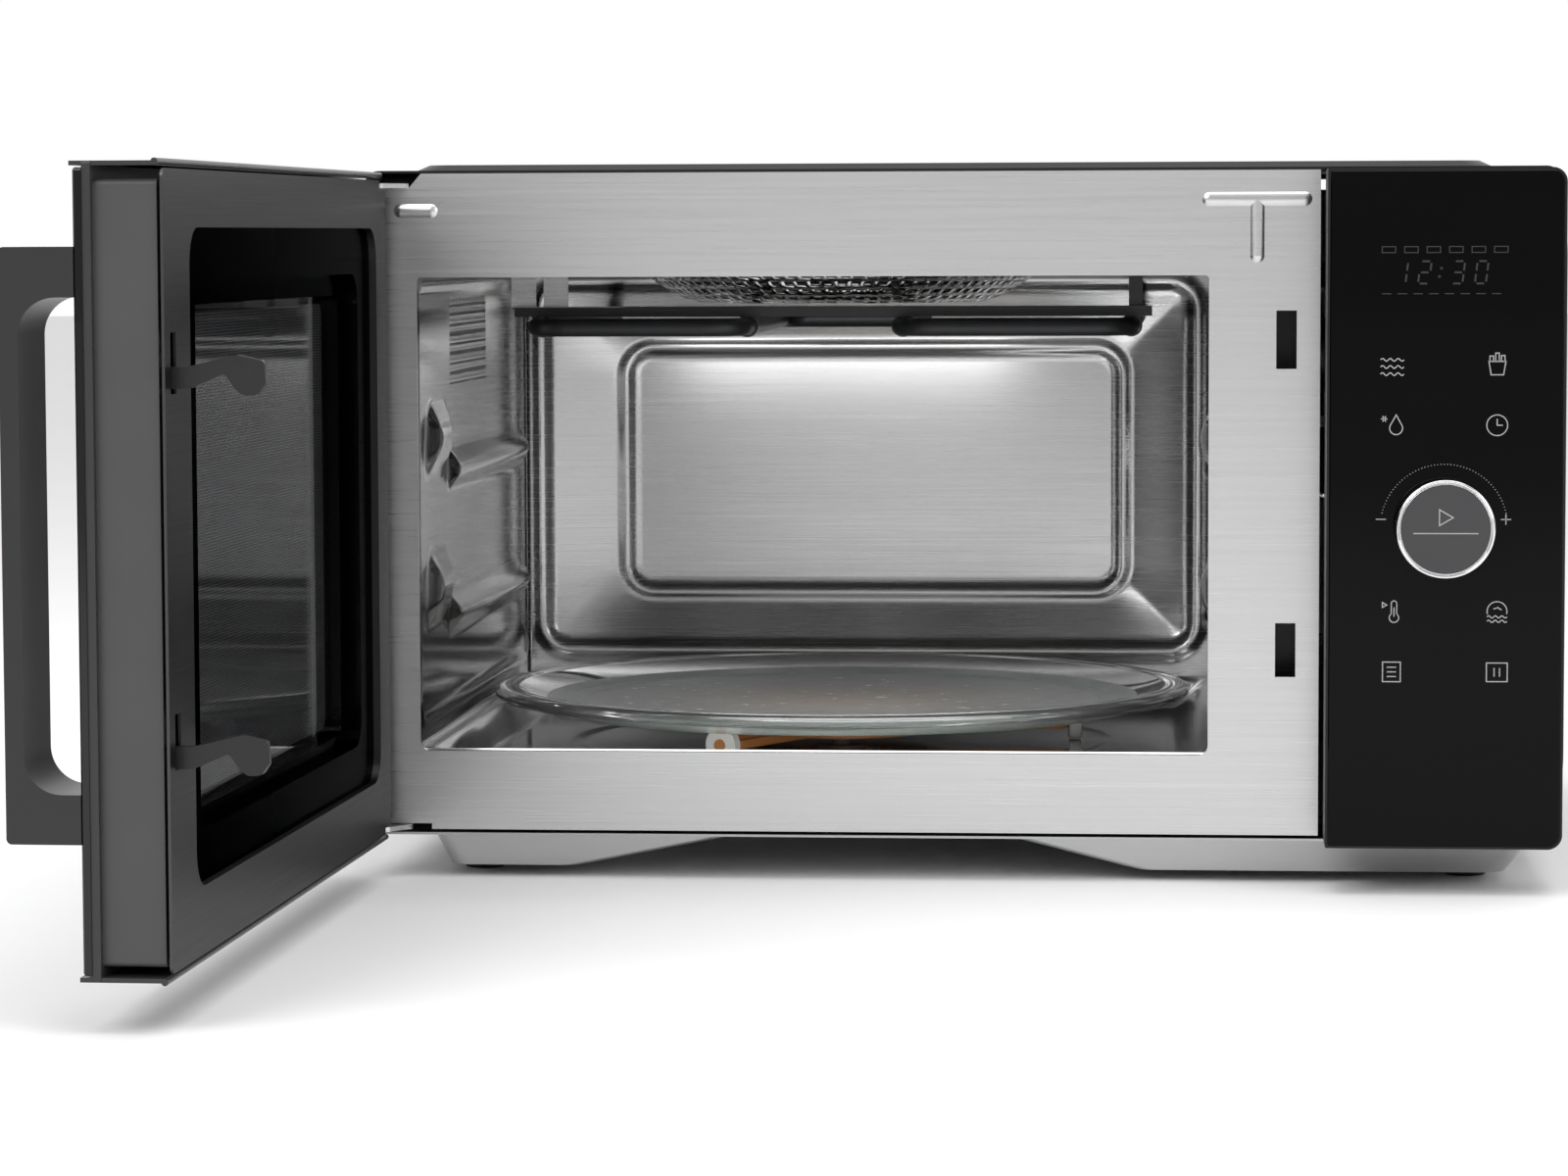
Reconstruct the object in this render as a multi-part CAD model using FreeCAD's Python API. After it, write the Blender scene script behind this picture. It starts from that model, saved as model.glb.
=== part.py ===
"""Countertop microwave oven with grill and hot air, door standing open: one STEP file per piece.

Millimetres, +Z up, +Y from the door towards the rear wall, +X towards the control panel.
The origin is the middle of the casing's footprint, on the surface that the feet stand on.
The door is modelled shut and then turned about its hinge axis into the open rest position.
"""

import FreeCAD, Part
import math
import os

Vec = FreeCAD.Vector

# Casing
BODY_W = 496.0              # width over the front flange
BODY_D = 408.0              # control panel face to the casing's rear edge
BODY_H = 300.0              # worktop to the crown of the cover
SHEET = 1.0                 # sheet metal thickness
FRONT_T = 33.0              # depth of the control panel in front of the steel plate
CROWN_TOP = 2.5             # how far the cover's pressed top panel stands up
CROWN_SIDE = 4.0            # how far its pressed side panels stand out
PAN_Z = 18.0                # underside of the base pan between its foot pods
POD_Z = 4.5                 # underside of the foot pods

HALF_W = BODY_W / 2
HALF_D = BODY_D / 2
PLATE_Y = FRONT_T - HALF_D  # front surface of the steel front plate
COVER_Z = BODY_H - CROWN_TOP
REAR_Y = HALF_D - 3.0       # inner surface of the rear panel

# Oven cavity; the turntable turns about the vertical line x = CAVITY_X, y = 0
CAVITY_X = -61.0
CAVITY_HALF = 168.0
FLOOR_Z = 41.1
SILL_Z = 54.8               # where the dished floor meets the upright walls
CEILING_Z = 257.0
BACK_Y = 174.0
BACK_DISH = 13.0            # how far the back wall is pressed rearwards
RIB_Z = (158.0, 94.0)       # undersides of the side walls' shelf ribs
RIB_DEPTH = 5.0
RIB_SLOPE = 4.5
RIB_R = 2.0
OPENING_HALF = 165.3
OPENING_Z = (53.8, 253.0)
VENT = (2.9, 2.4)           # one vent of the side walls, deep and high
PLATE_X = (-HALF_W + SHEET, 150.0)
PLATE_Z = (20.5, 296.3)

# Door, in its shut position; depths are measured outwards from its inner face
HINGE = (-243.3, -178.5)
DOOR_GAP = 1.5
DOOR_T = 30.5
DOOR_X = (-HALF_W, 150.0)
DOOR_Z = (18.0, 295.8)
DOOR_OPEN_DEG = 91.24
INNER_X = (-239.6, 148.1)
INNER_Z = (21.0, 293.3)
RECESS = (-218.9, 111.0, 44.8, 273.5)
CHOKE_HOLE = (-194.0, 91.0, 62.5, 255.0)
WINDOW = (-178.0, 76.0, 68.5, 246.5)
SIDE_Z = (23.0, 289.7)      # the door's side walls, top and bottom
LIP_T = 1.6                 # thickness of the lips over the door's top and bottom
LIP_PROUD = 1.4             # how far they stand out past the outer glass
HANDLE_Z = (65.0, 267.0)
HANDLE_W = 35.0
HANDLE_REACH = 26.0
PIN_R = 2.5
UPPER_TONGUE_Z = 290.2      # undersides of the two hinge brackets' tongues
LOWER_TONGUE_Z = 20.5
RUNNING = 0.05              # radial clearance of pins, shafts and wheels
SLOT_X = (132.0, 140.4)
SLOT_Z = ((214.3, 238.4), (86.6, 109.0))
HOOK_DROP = 129.0           # from the upper hook down to the lower one

# Control panel
PANEL_X = (152.0, HALF_W)
PANEL_Z = (19.5, 296.5)
GLASS_T = 2.5
DIAL = (199.4, 151.0)
DIAL_R = 20.0
DIAL_T = 13.5
DIAL_GAP = 1.8
DISPLAY = (171.7, 226.1, 241.9, 266.5)

# Turntable
TRAY_R = 157.5
TRAY_Z = 56.6               # underside, where the rollers carry it
ROLLER_TRACK = 106.0
ROLLER_R = 7.5
ROLLER_W = 5.4
AXLE_R = 2.6
ROLLER_Z = (FLOOR_Z + TRAY_Z) / 2
ROLLER_ANGLES = (5.0, 125.0, 245.0)

# Grill element and hot-air fan
HEATER_R = 3.9
HEATER_Z = 230.7
HEATER_FRONT_Y = -111.0
HEATER_BACK_Y = 95.0
HEATER_X = (-186.0, -96.0, -28.0, 71.0)
BRACKET_Y = -76.0
BRACKET_X = (-198.0, 80.0)
HANGERS = ((-200.0, -189.2), (-185.8, -175.0), (70.0, 76.0))
DOME_R = (97.0, 66.0)
DOME_Z = 241.2
DRUM_R = 99.0
DRUM_TOP = CEILING_Z + SHEET + 18.0
FAN_SHAFT_R = 3.0

# Cooling fan behind the rear vents
FAN_CENTRE = (175.0, 185.0)
FAN_Y = 176.0

# Feet; each pod has a span at the pan and a span at its foot, along x and along y
FEET = [(x, y) for x in (-205.0, 213.0) for y in (-133.0, 165.0)]
FOOT_R = 9.0
STEM_R = 3.0
POD_X = (((-222.0, -93.0), (-216.0, -158.0)), ((21.5, 238.0), (72.7, 228.0)))
POD_Y = (((-168.0, -88.0), (-163.0, -106.0)), ((98.0, 196.0), (116.0, 190.0)))
POD_R = 9.0

PLANES = {
    "xy": lambda a, b, c: Vec(a, b, c),
    "xz": lambda a, b, c: Vec(a, c, b),
    "yz": lambda a, b, c: Vec(c, a, b),
}


# ---------------------------------------------------------------- shape helpers
def block(x, y, z):
    """A box from three (low, high) pairs."""
    return Part.makeBox(x[1] - x[0], y[1] - y[0], z[1] - z[0], Vec(x[0], y[0], z[0]))


def rod(start, end, radius):
    """A round bar between two points."""
    along = Vec(*end) - Vec(*start)
    return Part.makeCylinder(radius, along.Length, Vec(*start), along)


def ring(start, end, outer, inner):
    """A round tube between two points."""
    return rod(start, end, outer).cut(rod(start, end, inner))


def rect(x0, x1, z0, z1):
    return [(x0, z0), (x1, z0), (x1, z1), (x0, z1)]


def grow(box, by):
    """A (low, high, low, high) rectangle made larger on every side."""
    return (box[0] - by, box[1] + by, box[2] - by, box[3] + by)


def outline(points, radius, plane, level):
    """A closed wire through points, its corners rounded by one radius or a radius each."""
    place = PLANES[plane]
    radii = radius if isinstance(radius, (list, tuple)) else [radius] * len(points)
    corners = []
    for i, (a, b) in enumerate(points):
        here = Vec(a, b, 0)
        back = (Vec(*points[i - 1], 0) - here).normalize()
        ahead = (Vec(*points[(i + 1) % len(points)], 0) - here).normalize()
        if radii[i] <= 0:
            corners.append((here, None, here))
            continue
        half = back.getAngle(ahead) / 2
        reach = radii[i] / math.tan(half)
        centre = here + (back + ahead).normalize() * (radii[i] / math.sin(half))
        middle = centre + (here - centre).normalize() * radii[i]
        corners.append((here + back * reach, middle, here + ahead * reach))
    edges = []
    for i, (start, middle, end) in enumerate(corners):
        put = [place(p.x, p.y, level) if p else None for p in (start, middle, end)]
        if middle:
            edges.append(Part.Arc(*put).toShape())
        following = corners[(i + 1) % len(corners)][0]
        if (following - end).Length > 1e-6:
            edges.append(Part.LineSegment(put[2], place(following.x, following.y, level)).toShape())
    return Part.Wire(Part.__sortEdges__(edges))


def prism(points, radius, plane, low, high):
    """The outline's face pushed from one level to another along the plane's normal."""
    face = Part.Face(outline(points, radius, plane, low))
    return face.extrude(PLANES[plane](0, 0, high - low))


def frame(outer, outer_r, inner, inner_r, plane, low, high):
    """A flat frame between two rounded rectangles."""
    hole = prism(rect(*inner), inner_r, plane, low - 1, high + 1)
    return prism(rect(*outer), outer_r, plane, low, high).cut(hole)


def frustum(plane, base, base_level, top, top_level, radius):
    """A loft between two rounded rectangles on parallel planes."""
    wires = [
        outline(rect(*base), radius, plane, base_level),
        outline(rect(*top), radius, plane, top_level),
    ]
    return Part.makeLoft(wires, True, True)


def press(sheet, plane, base, level, height, slope, radius):
    """Press a hollow, sloped-sided panel out of a sheet whose surface is at level."""
    sign = 1 if height > 0 else -1
    top = grow(base, -slope)
    outer = frustum(plane, base, level, top, level + height, radius)
    low = level - sign * SHEET
    inner = frustum(plane, grow(base, -SHEET), low, grow(top, -SHEET), low + height, radius)
    return sheet.fuse(outer).cut(inner)


def grid_cut(sheet, plane, box, counts, size, low, high):
    """Cut a regular grid of rectangular vents through a sheet."""
    holes = []
    for i in range(counts[0]):
        for j in range(counts[1]):
            a = box[0] + (box[1] - box[0]) * (i + 0.5) / counts[0]
            b = box[2] + (box[3] - box[2]) * (j + 0.5) / counts[1]
            hole = rect(a - size[0] / 2, a + size[0] / 2, b - size[1] / 2, b + size[1] / 2)
            holes.append(prism(hole, 0, plane, low - 1, high + 1))
    return sheet.cut(Part.makeCompound(holes))


def union(shapes):
    return shapes[0].fuse(shapes[1:]).removeSplitter()


def turned(shape, centre, axis, degrees):
    copy = shape.copy()
    copy.rotate(Vec(*centre), Vec(*axis), degrees)
    return copy


def moved(shape, x=0.0, y=0.0, z=0.0):
    copy = shape.copy()
    copy.translate(Vec(x, y, z))
    return copy


# ---------------------------------------------------------------- front plate and cavity
def front_plate():
    """Steel plate round the cavity mouth, with latch slots, pressed marks and hinge notches."""
    mouth = (CAVITY_X - OPENING_HALF, CAVITY_X + OPENING_HALF, *OPENING_Z)
    corner = (4.0, 4.0, 1.5, 1.5)
    back = PLATE_Y + SHEET
    plate = frame((*PLATE_X, *PLATE_Z), 0, mouth, corner, "xz", PLATE_Y, back)
    rim = frame(grow(mouth, 2.4), 5.0, mouth, corner, "xz", PLATE_Y - 0.5, PLATE_Y)
    stiffeners = [
        stiffener((104.3, 284.3), (143.6, 284.3)),
        stiffener((124.1, 261.0), (124.1, 284.3)),
        stiffener((-233.0, 280.7), (-220.1, 280.7)),
    ]
    plate = union([plate, rim, *stiffeners])
    top_notch = [(-249, 290.0), (-229.6, 290.0), (-222.7, 298.0), (-249, 298.0)]
    cuts = [prism(top_notch, 0, "xz", PLATE_Y - 1, back + 1)]
    cuts.append(block((-249, -221.9), (PLATE_Y - 1, back + 1), (20.0, 22.9)))
    for slot in SLOT_Z:
        cuts.append(block(SLOT_X, (PLATE_Y - 1, back + 1), slot))
    return plate.cut(Part.makeCompound(cuts))


def stiffener(start, end):
    """A low domed bead on the front plate, round-ended, between two (x, z) points."""
    half, height = 2.9, 1.0
    radius = (half ** 2 + height ** 2) / (2 * height)
    axis_y = PLATE_Y - height + radius
    a, b = ((x, axis_y, z) for x, z in (start, end))
    pill = union([rod(a, b, radius), Part.makeSphere(radius, Vec(*a)), Part.makeSphere(radius, Vec(*b))])
    x = sorted((start[0], end[0]))
    z = sorted((start[1], end[1]))
    skin = block((x[0] - 4, x[1] + 4), (PLATE_Y - 2, PLATE_Y + SHEET / 2), (z[0] - 4, z[1] + 4))
    return pill.common(skin)


def cavity_floor():
    """Dished floor: flat under the turntable, flaring up to the sill on all four sides."""
    x = (CAVITY_X - CAVITY_HALF, CAVITY_X + CAVITY_HALF)
    y = (PLATE_Y + SHEET, BACK_Y)
    rim = (x[0] - SHEET, x[1] + SHEET, y[0], y[1] + SHEET)
    flare = 14.0
    outer = frustum("xy", rim, SILL_Z, grow(rim, -flare), FLOOR_Z - SHEET, 6.0)
    inner = frustum("xy", grow(rim, -SHEET), SILL_Z, grow(rim, -flare - SHEET), FLOOR_Z, 6.0)
    shaft_hole = rod((CAVITY_X, 0, FLOOR_Z - 5), (CAVITY_X, 0, FLOOR_Z + 5), 6.0)
    return outer.cut(inner).cut(shaft_hole)


def side_wall(side):
    """One upright cavity wall with two pressed shelf ribs, each with a short stop pad in front."""
    face = CAVITY_X + side * CAVITY_HALF
    span = sorted((face, face + side * SHEET))
    wall = block(span, (PLATE_Y + SHEET, BACK_Y), (SILL_Z, CEILING_Z))
    for low in RIB_Z:
        for panel in ((-76.0, 150.0, low, low + 20.0), (-134.0, -83.0, low + 8.0, low + 42.0)):
            wall = press(wall, "yz", panel, face, -side * RIB_DEPTH, RIB_SLOPE, RIB_R)
    if side < 0:
        return grid_cut(wall, "yz", (-68.0, 39.0, 204.0, 243.0), (22, 9), VENT, *span)
    wall = wall.cut(block((span[0] - 1, span[1] + 1), (-20.0, 70.0), (207.0, 245.0)))
    return grid_cut(wall, "yz", (100.0, 140.0, 210.0, 240.0), (8, 7), VENT, *span)


def cavity_ceiling():
    """Cavity roof with the round mouth of the hot-air chamber."""
    x = (CAVITY_X - CAVITY_HALF - SHEET, CAVITY_X + CAVITY_HALF + SHEET)
    roof = block(x, (PLATE_Y + SHEET, BACK_Y + SHEET), (CEILING_Z, CEILING_Z + SHEET))
    mouth = rod((CAVITY_X, 0, CEILING_Z - 1), (CAVITY_X, 0, CEILING_Z + 2), DOME_R[0] - 5)
    return roof.cut(mouth)


def cavity_back_wall():
    """Back wall pressed rearwards into a deep picture-frame shape, with the grill's two holes."""
    x = (CAVITY_X - CAVITY_HALF - SHEET, CAVITY_X + CAVITY_HALF + SHEET)
    wall = block(x, (BACK_Y, BACK_Y + SHEET), (SILL_Z, CEILING_Z))
    dish = (-222.0, 100.0, 66.0, 247.0)
    floor_of_dish = (-178.6, 61.0, 97.5, 212.6)
    depth = BACK_Y + SHEET + BACK_DISH
    outer = frustum("xz", dish, BACK_Y, floor_of_dish, depth, 12.0)
    inner = frustum("xz", grow(dish, -SHEET), BACK_Y, grow(floor_of_dish, -SHEET), depth - SHEET, 12.0)
    wall = wall.fuse(outer).cut(inner)
    holes = [rod((x, BACK_Y - 5, HEATER_Z), (x, REAR_Y, HEATER_Z), HEATER_R + 0.5) for x in heater_ends()]
    return wall.cut(Part.makeCompound(holes))


def waveguide_cover():
    """Mica sheet over the waveguide's mouth in the right wall."""
    face = CAVITY_X + CAVITY_HALF
    return prism(rect(-26.0, 76.0, 203.5, 248.5), 3.0, "yz", face - 0.6, face)


def dome(radius_top, radius_flat, z_top, z_flat):
    return Part.makeCone(
        radius_flat, radius_top, z_top - z_flat, Vec(CAVITY_X, 0, z_flat), Vec(0, 0, 1)
    )


def ceiling_grille():
    """Shallow perforated dome that hangs from the ceiling under the hot-air fan."""
    shell = dome(*DOME_R, CEILING_Z - SHEET, DOME_Z)
    hollow = dome(DOME_R[0] - 1.4, DOME_R[1] - 1.4, CEILING_Z, DOME_Z + SHEET)
    flange_z = (CEILING_Z - SHEET, CEILING_Z)
    flange = ring(
        (CAVITY_X, 0, flange_z[0]), (CAVITY_X, 0, flange_z[1]), DOME_R[0] + 4, DOME_R[0] - 2
    )
    shell = shell.cut(hollow).fuse(flange)
    slots = []
    for radius, count, length in ((18.0, 8, 8.0), (34.0, 14, 9.0), (50.0, 20, 9.0)):
        for i in range(count):
            slot = block(
                (CAVITY_X + radius - 2.5, CAVITY_X + radius + 2.5),
                (-length / 2, length / 2),
                (DOME_Z - 1, DOME_Z + 2 * SHEET),
            )
            slots.append(turned(slot, (CAVITY_X, 0, 0), (0, 0, 1), 360.0 * i / count))
    return shell.cut(Part.makeCompound(slots))


# ---------------------------------------------------------------- grill and hot air
def heater_ends():
    return HEATER_X[0], HEATER_X[-1]


def grill_heater():
    """Tubular element bent into two forward loops, its ends leaving through the back wall."""
    end_y = REAR_Y - 9.0
    left, inner_left, inner_right, right = HEATER_X
    points = [
        (left, end_y),
        (left, HEATER_FRONT_Y),
        (inner_left, HEATER_FRONT_Y),
        (inner_left, HEATER_BACK_Y),
        (inner_right, HEATER_BACK_Y),
        (inner_right, HEATER_FRONT_Y),
        (right, HEATER_FRONT_Y),
        (right, end_y),
    ]
    bend = 14.0
    closed = outline(points, [0] + [bend] * 6 + [0], "xy", HEATER_Z)
    far = [e for e in closed.Edges if min(v.Point.y for v in e.Vertexes) < end_y - 1e-3]
    path = Part.Wire(Part.__sortEdges__(far))
    section = Part.Wire(Part.makeCircle(HEATER_R, Vec(left, end_y, HEATER_Z), Vec(0, 1, 0)))
    return path.makePipeShell([section], True, False)


def grill_bracket():
    """Channel strip across the cavity with a clip round each heater leg and two hangers."""
    low = HEATER_Z + HEATER_R + 0.2
    high = low + 4.4
    half = 6.0
    skin = 0.8
    channel = block(BRACKET_X, (BRACKET_Y - half, BRACKET_Y + half), (low, high))
    inside = (BRACKET_Y - half + skin, BRACKET_Y + half - skin)
    groove = block((BRACKET_X[0] - 1, BRACKET_X[1] + 1), inside, (low - 1, high - skin))
    pieces = [channel.cut(groove)]
    for x in HEATER_X:
        front, back = ((x, BRACKET_Y + dy, HEATER_Z) for dy in (-3, 3))
        loop = ring(front, back, HEATER_R + 1.0, HEATER_R + 0.1)
        neck = block((x - 1.5, x + 1.5), (BRACKET_Y - 3, BRACKET_Y + 3), (HEATER_Z + HEATER_R + 0.4, high))
        pieces += [loop, neck]
    for x in HANGERS:
        pieces.append(block(x, (BRACKET_Y - skin, BRACKET_Y + skin), (high - skin, CEILING_Z)))
    for x in ((HANGERS[0][0], HANGERS[1][1]), (HANGERS[2][0] - 6.0, HANGERS[2][1] + 6.0)):
        pieces.append(block(x, (BRACKET_Y - 8, BRACKET_Y + 8), (CEILING_Z - 1.2, CEILING_Z)))
    return union(pieces)


def hot_air_housing():
    """Drum over the ceiling's mouth that holds the hot-air fan and its ring heater."""
    base = CEILING_Z + SHEET
    centre = (CAVITY_X, 0)
    drum = ring((*centre, base), (*centre, DRUM_TOP), DRUM_R, DRUM_R - SHEET)
    lid = ring((*centre, DRUM_TOP - SHEET), (*centre, DRUM_TOP), DRUM_R - SHEET, 7.0)
    flange = ring((*centre, base), (*centre, base + SHEET), DRUM_R + 7.0, DRUM_R)
    return union([drum, lid, flange])


def hot_air_heater():
    """Ring heater round the hot-air fan."""
    return Part.makeTorus(DRUM_R - 10.0, 3.2, Vec(CAVITY_X, 0, CEILING_Z + 10.5), Vec(0, 0, 1))


def hot_air_motor():
    """Flat motor on top of the housing."""
    body = rod((CAVITY_X, 0, DRUM_TOP), (CAVITY_X, 0, DRUM_TOP + 15.0), 34.0)
    cap = rod((CAVITY_X, 0, DRUM_TOP + 15.0), (CAVITY_X, 0, DRUM_TOP + 19.0), 15.0)
    ear = block((CAVITY_X - 46, CAVITY_X + 46), (-7, 7), (DRUM_TOP, DRUM_TOP + 2))
    bore = rod((CAVITY_X, 0, DRUM_TOP - 1), (CAVITY_X, 0, DRUM_TOP + 12.0), FAN_SHAFT_R + RUNNING)
    return union([body, cap, ear]).cut(bore)


def blade_wheel(centre, axis_length, radius, hub, blades, pitch_deg, thickness):
    """A fan wheel about +Z through centre: a hub with pitched blades."""
    x, y, z = centre
    pieces = [rod((x, y, z), (x, y, z + axis_length), hub)]
    for i in range(blades):
        blade = block(
            (x + hub - 2, x + radius), (y - axis_length * 0.62, y + axis_length * 0.62),
            (z + axis_length / 2 - thickness / 2, z + axis_length / 2 + thickness / 2),
        )
        blade = turned(blade, (x, y, z + axis_length / 2), (1, 0, 0), pitch_deg)
        pieces.append(turned(blade, (x, y, z), (0, 0, 1), 360.0 * i / blades))
    return union(pieces)


def hot_air_fan():
    """Hot-air impeller and its shaft up into the motor."""
    z = CEILING_Z + 5.0
    wheel = blade_wheel((CAVITY_X, 0, z), 10.0, 76.0, 14.0, 10, 50.0, 1.2)
    shaft = rod((CAVITY_X, 0, z + 9.0), (CAVITY_X, 0, DRUM_TOP + 10.0), FAN_SHAFT_R)
    return union([wheel, shaft])


# ---------------------------------------------------------------- casing
def cover():
    """Wrap-round painted cover with pressed top and side panels and vent slots."""
    outer = rect(-HALF_W, HALF_W, PAN_Z + 2.0, COVER_Z)
    inner = rect(-HALF_W + SHEET, HALF_W - SHEET, PAN_Z - 5.0, COVER_Z - SHEET)
    shell = prism(outer, (0, 0, 6.0, 6.0), "xz", PLATE_Y, HALF_D)
    shell = shell.cut(prism(inner, (0, 0, 5.0, 5.0), "xz", PLATE_Y - 1, HALF_D + 1))
    pressed_y = (PLATE_Y + 10.0, HALF_D - 12.0)
    shell = press(shell, "xy", (-229.0, 221.0, *pressed_y), COVER_Z, CROWN_TOP, 5.0, 9.0)
    for side in (-1, 1):
        rim = (*pressed_y, PAN_Z + 20.0, COVER_Z - 22.0)
        shell = press(shell, "yz", rim, side * HALF_W, side * CROWN_SIDE, 6.0, 10.0)
        skin = sorted((side * (HALF_W + CROWN_SIDE), side * (HALF_W + CROWN_SIDE - SHEET)))
        vents = (60.0, 170.0, 60.0, 112.0)
        shell = grid_cut(shell, "yz", vents, (14, 2), (3.2, 20.0), skin[0], skin[1])
    return shell


def pod_spans():
    """Each foot pod's rectangle at the pan and at its foot."""
    return [((*x_pan, *y_pan), (*x_foot, *y_foot)) for x_pan, x_foot in POD_X for y_pan, y_foot in POD_Y]


def base_pan():
    """Bottom pan with turned-up edges and a mouth over each foot pod."""
    x = (-HALF_W + SHEET, HALF_W - SHEET)
    y = (PLATE_Y + SHEET, REAR_Y - SHEET)
    pan = block(x, y, (PAN_Z, PAN_Z + SHEET))
    wall_z = (PAN_Z, PAN_Z + 12.0)
    for edge in ((x[0], x[0] + SHEET), (x[1] - SHEET, x[1])):
        pan = pan.fuse(block(edge, y, wall_z))
    pan = pan.fuse(block(x, (y[1] - SHEET, y[1]), wall_z)).removeSplitter()
    seam = 4.0
    mouths = [
        prism(rect(*grow(at_pan, -seam)), POD_R, "xy", PAN_Z - 1, PAN_Z + SHEET + 1)
        for at_pan, at_foot in pod_spans()
    ]
    return pan.cut(Part.makeCompound(mouths))


def foot_pods():
    """Four pressed pods welded under the pan's mouths, each with a hole for a foot's stem."""
    pods = []
    for at_pan, at_foot in pod_spans():
        outer = frustum("xy", at_pan, PAN_Z, at_foot, POD_Z, POD_R)
        roof = PAN_Z + SHEET
        inner = frustum("xy", grow(at_pan, -SHEET), roof, grow(at_foot, -SHEET), POD_Z + SHEET, POD_R)
        pods.append(outer.cut(inner))
    holes = [rod((x, y, POD_Z - 1), (x, y, POD_Z + SHEET + 1), STEM_R) for x, y in FEET]
    return Part.makeCompound(pods).cut(Part.makeCompound(holes))


def rubber_feet():
    """Four rubber feet, each pushed through its pod by a short stem."""
    feet = []
    for x, y in FEET:
        pad = Part.makeCone(FOOT_R - 1.0, FOOT_R, POD_Z, Vec(x, y, 0), Vec(0, 0, 1))
        stem = rod((x, y, POD_Z), (x, y, POD_Z + SHEET), STEM_R)
        bead = rod((x, y, POD_Z + SHEET), (x, y, POD_Z + SHEET + 2.0), STEM_R + 1.2)
        feet.append(union([pad, stem, bead]))
    return Part.makeCompound(feet)


def rear_panel():
    """Rear panel with the fan's vents and the hole for the mains inlet."""
    low = PAN_Z + SHEET
    sheet = block((-HALF_W + SHEET, HALF_W - SHEET), (REAR_Y, REAR_Y + SHEET), (PAN_Z, COVER_Z - SHEET - 5.0))
    sheet = grid_cut(sheet, "xz", (128.0, 222.0, 138.0, 232.0), (12, 4), (3.4, 18.0), REAR_Y, REAR_Y + SHEET)
    cavity_vents = (-215.0, -125.0, 200.0, 250.0)
    sheet = grid_cut(sheet, "xz", cavity_vents, (14, 2), (3.0, 18.0), REAR_Y, REAR_Y + SHEET)
    inlet = block((198.0, 214.0), (REAR_Y - 1, REAR_Y + 2), (low + 22.0, low + 34.0))
    return sheet.cut(inlet)


def mains_inlet():
    """Moulded clamp in the rear panel where a mains lead would enter."""
    z = (PAN_Z + SHEET + 22.0, PAN_Z + SHEET + 34.0)
    neck = block((198.0, 214.0), (REAR_Y, REAR_Y + SHEET), z)
    head = block((195.0, 217.0), (REAR_Y + SHEET, REAR_Y + 3.0), (z[0] - 3, z[1] + 3))
    tail = block((196.0, 216.0), (REAR_Y - 12.0, REAR_Y), (z[0] - 2, z[1] + 2))
    middle = (z[0] + z[1]) / 2
    bore = rod((206.0, REAR_Y - 13, middle), (206.0, REAR_Y + 4, middle), 3.6)
    return union([neck, head, tail]).cut(bore)


def cover_screws():
    """Six pan-head screws that hold the cover at the rear."""
    screws = []
    spots = [(x, z) for x in (-239.0, 239.0) for z in (60.0, 160.0, 250.0)]
    for x, z in spots:
        head = rod((x, REAR_Y + SHEET, z), (x, REAR_Y + SHEET + 1.8, z), 3.6)
        cross = block((x - 2.2, x + 2.2), (REAR_Y + 2.2, REAR_Y + 4), (z - 0.4, z + 0.4))
        screws.append(head.cut(cross).cut(turned(cross, (x, 0, z), (0, 1, 0), 90)))
    return Part.makeCompound(screws)


# ---------------------------------------------------------------- control panel
def control_housing():
    """Open-backed moulding that carries the glass, the display and the board."""
    glass_back = GLASS_T - HALF_D
    outer = rect(*PANEL_X, *PANEL_Z)
    corner = (0.8, 6.0, 6.0, 0.8)
    shell = prism(outer, corner, "xz", -HALF_D + 0.4, PLATE_Y)
    bed = prism(rect(*grow((*PANEL_X, *PANEL_Z), -1.0)), (1.0, 5.0, 5.0, 1.0), "xz", -HALF_D - 1, glass_back)
    hollow = prism(rect(*grow((*PANEL_X, *PANEL_Z), -2.2)), 2.0, "xz", glass_back + 2.0, PLATE_Y + 1)
    hole = rod((DIAL[0], -HALF_D - 1, DIAL[1]), (DIAL[0], glass_back + 3, DIAL[1]), 7.5)
    window = prism(rect(*DISPLAY), 0, "xz", glass_back - 1, glass_back + 3)
    return shell.cut(bed).cut(hollow).cut(hole).cut(window)


def control_glass():
    """Black glass face of the control panel, with a hole for the dial's shaft."""
    face = grow((*PANEL_X, *PANEL_Z), -1.0)
    glass = prism(rect(*face), (1.0, 5.0, 5.0, 1.0), "xz", -HALF_D, GLASS_T - HALF_D)
    front = [e for e in glass.Edges if e.BoundBox.YMax < -HALF_D + 1e-4]
    glass = glass.makeChamfer(0.5, front)
    return glass.cut(rod((DIAL[0], -HALF_D - 1, DIAL[1]), (DIAL[0], GLASS_T - HALF_D + 1, DIAL[1]), 5.0))


def display_module():
    """Display block that fills the housing's window behind the glass."""
    front = GLASS_T - HALF_D
    lens = block((DISPLAY[0], DISPLAY[1]), (front, front + 2.0), (DISPLAY[2], DISPLAY[3]))
    case = grow(DISPLAY, 3.0)
    body = block(case[:2], (front + 2.0, board_y()), case[2:])
    return union([lens, body])


def board_y():
    """Front surface of the control board."""
    return GLASS_T - HALF_D + 10.0


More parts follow.
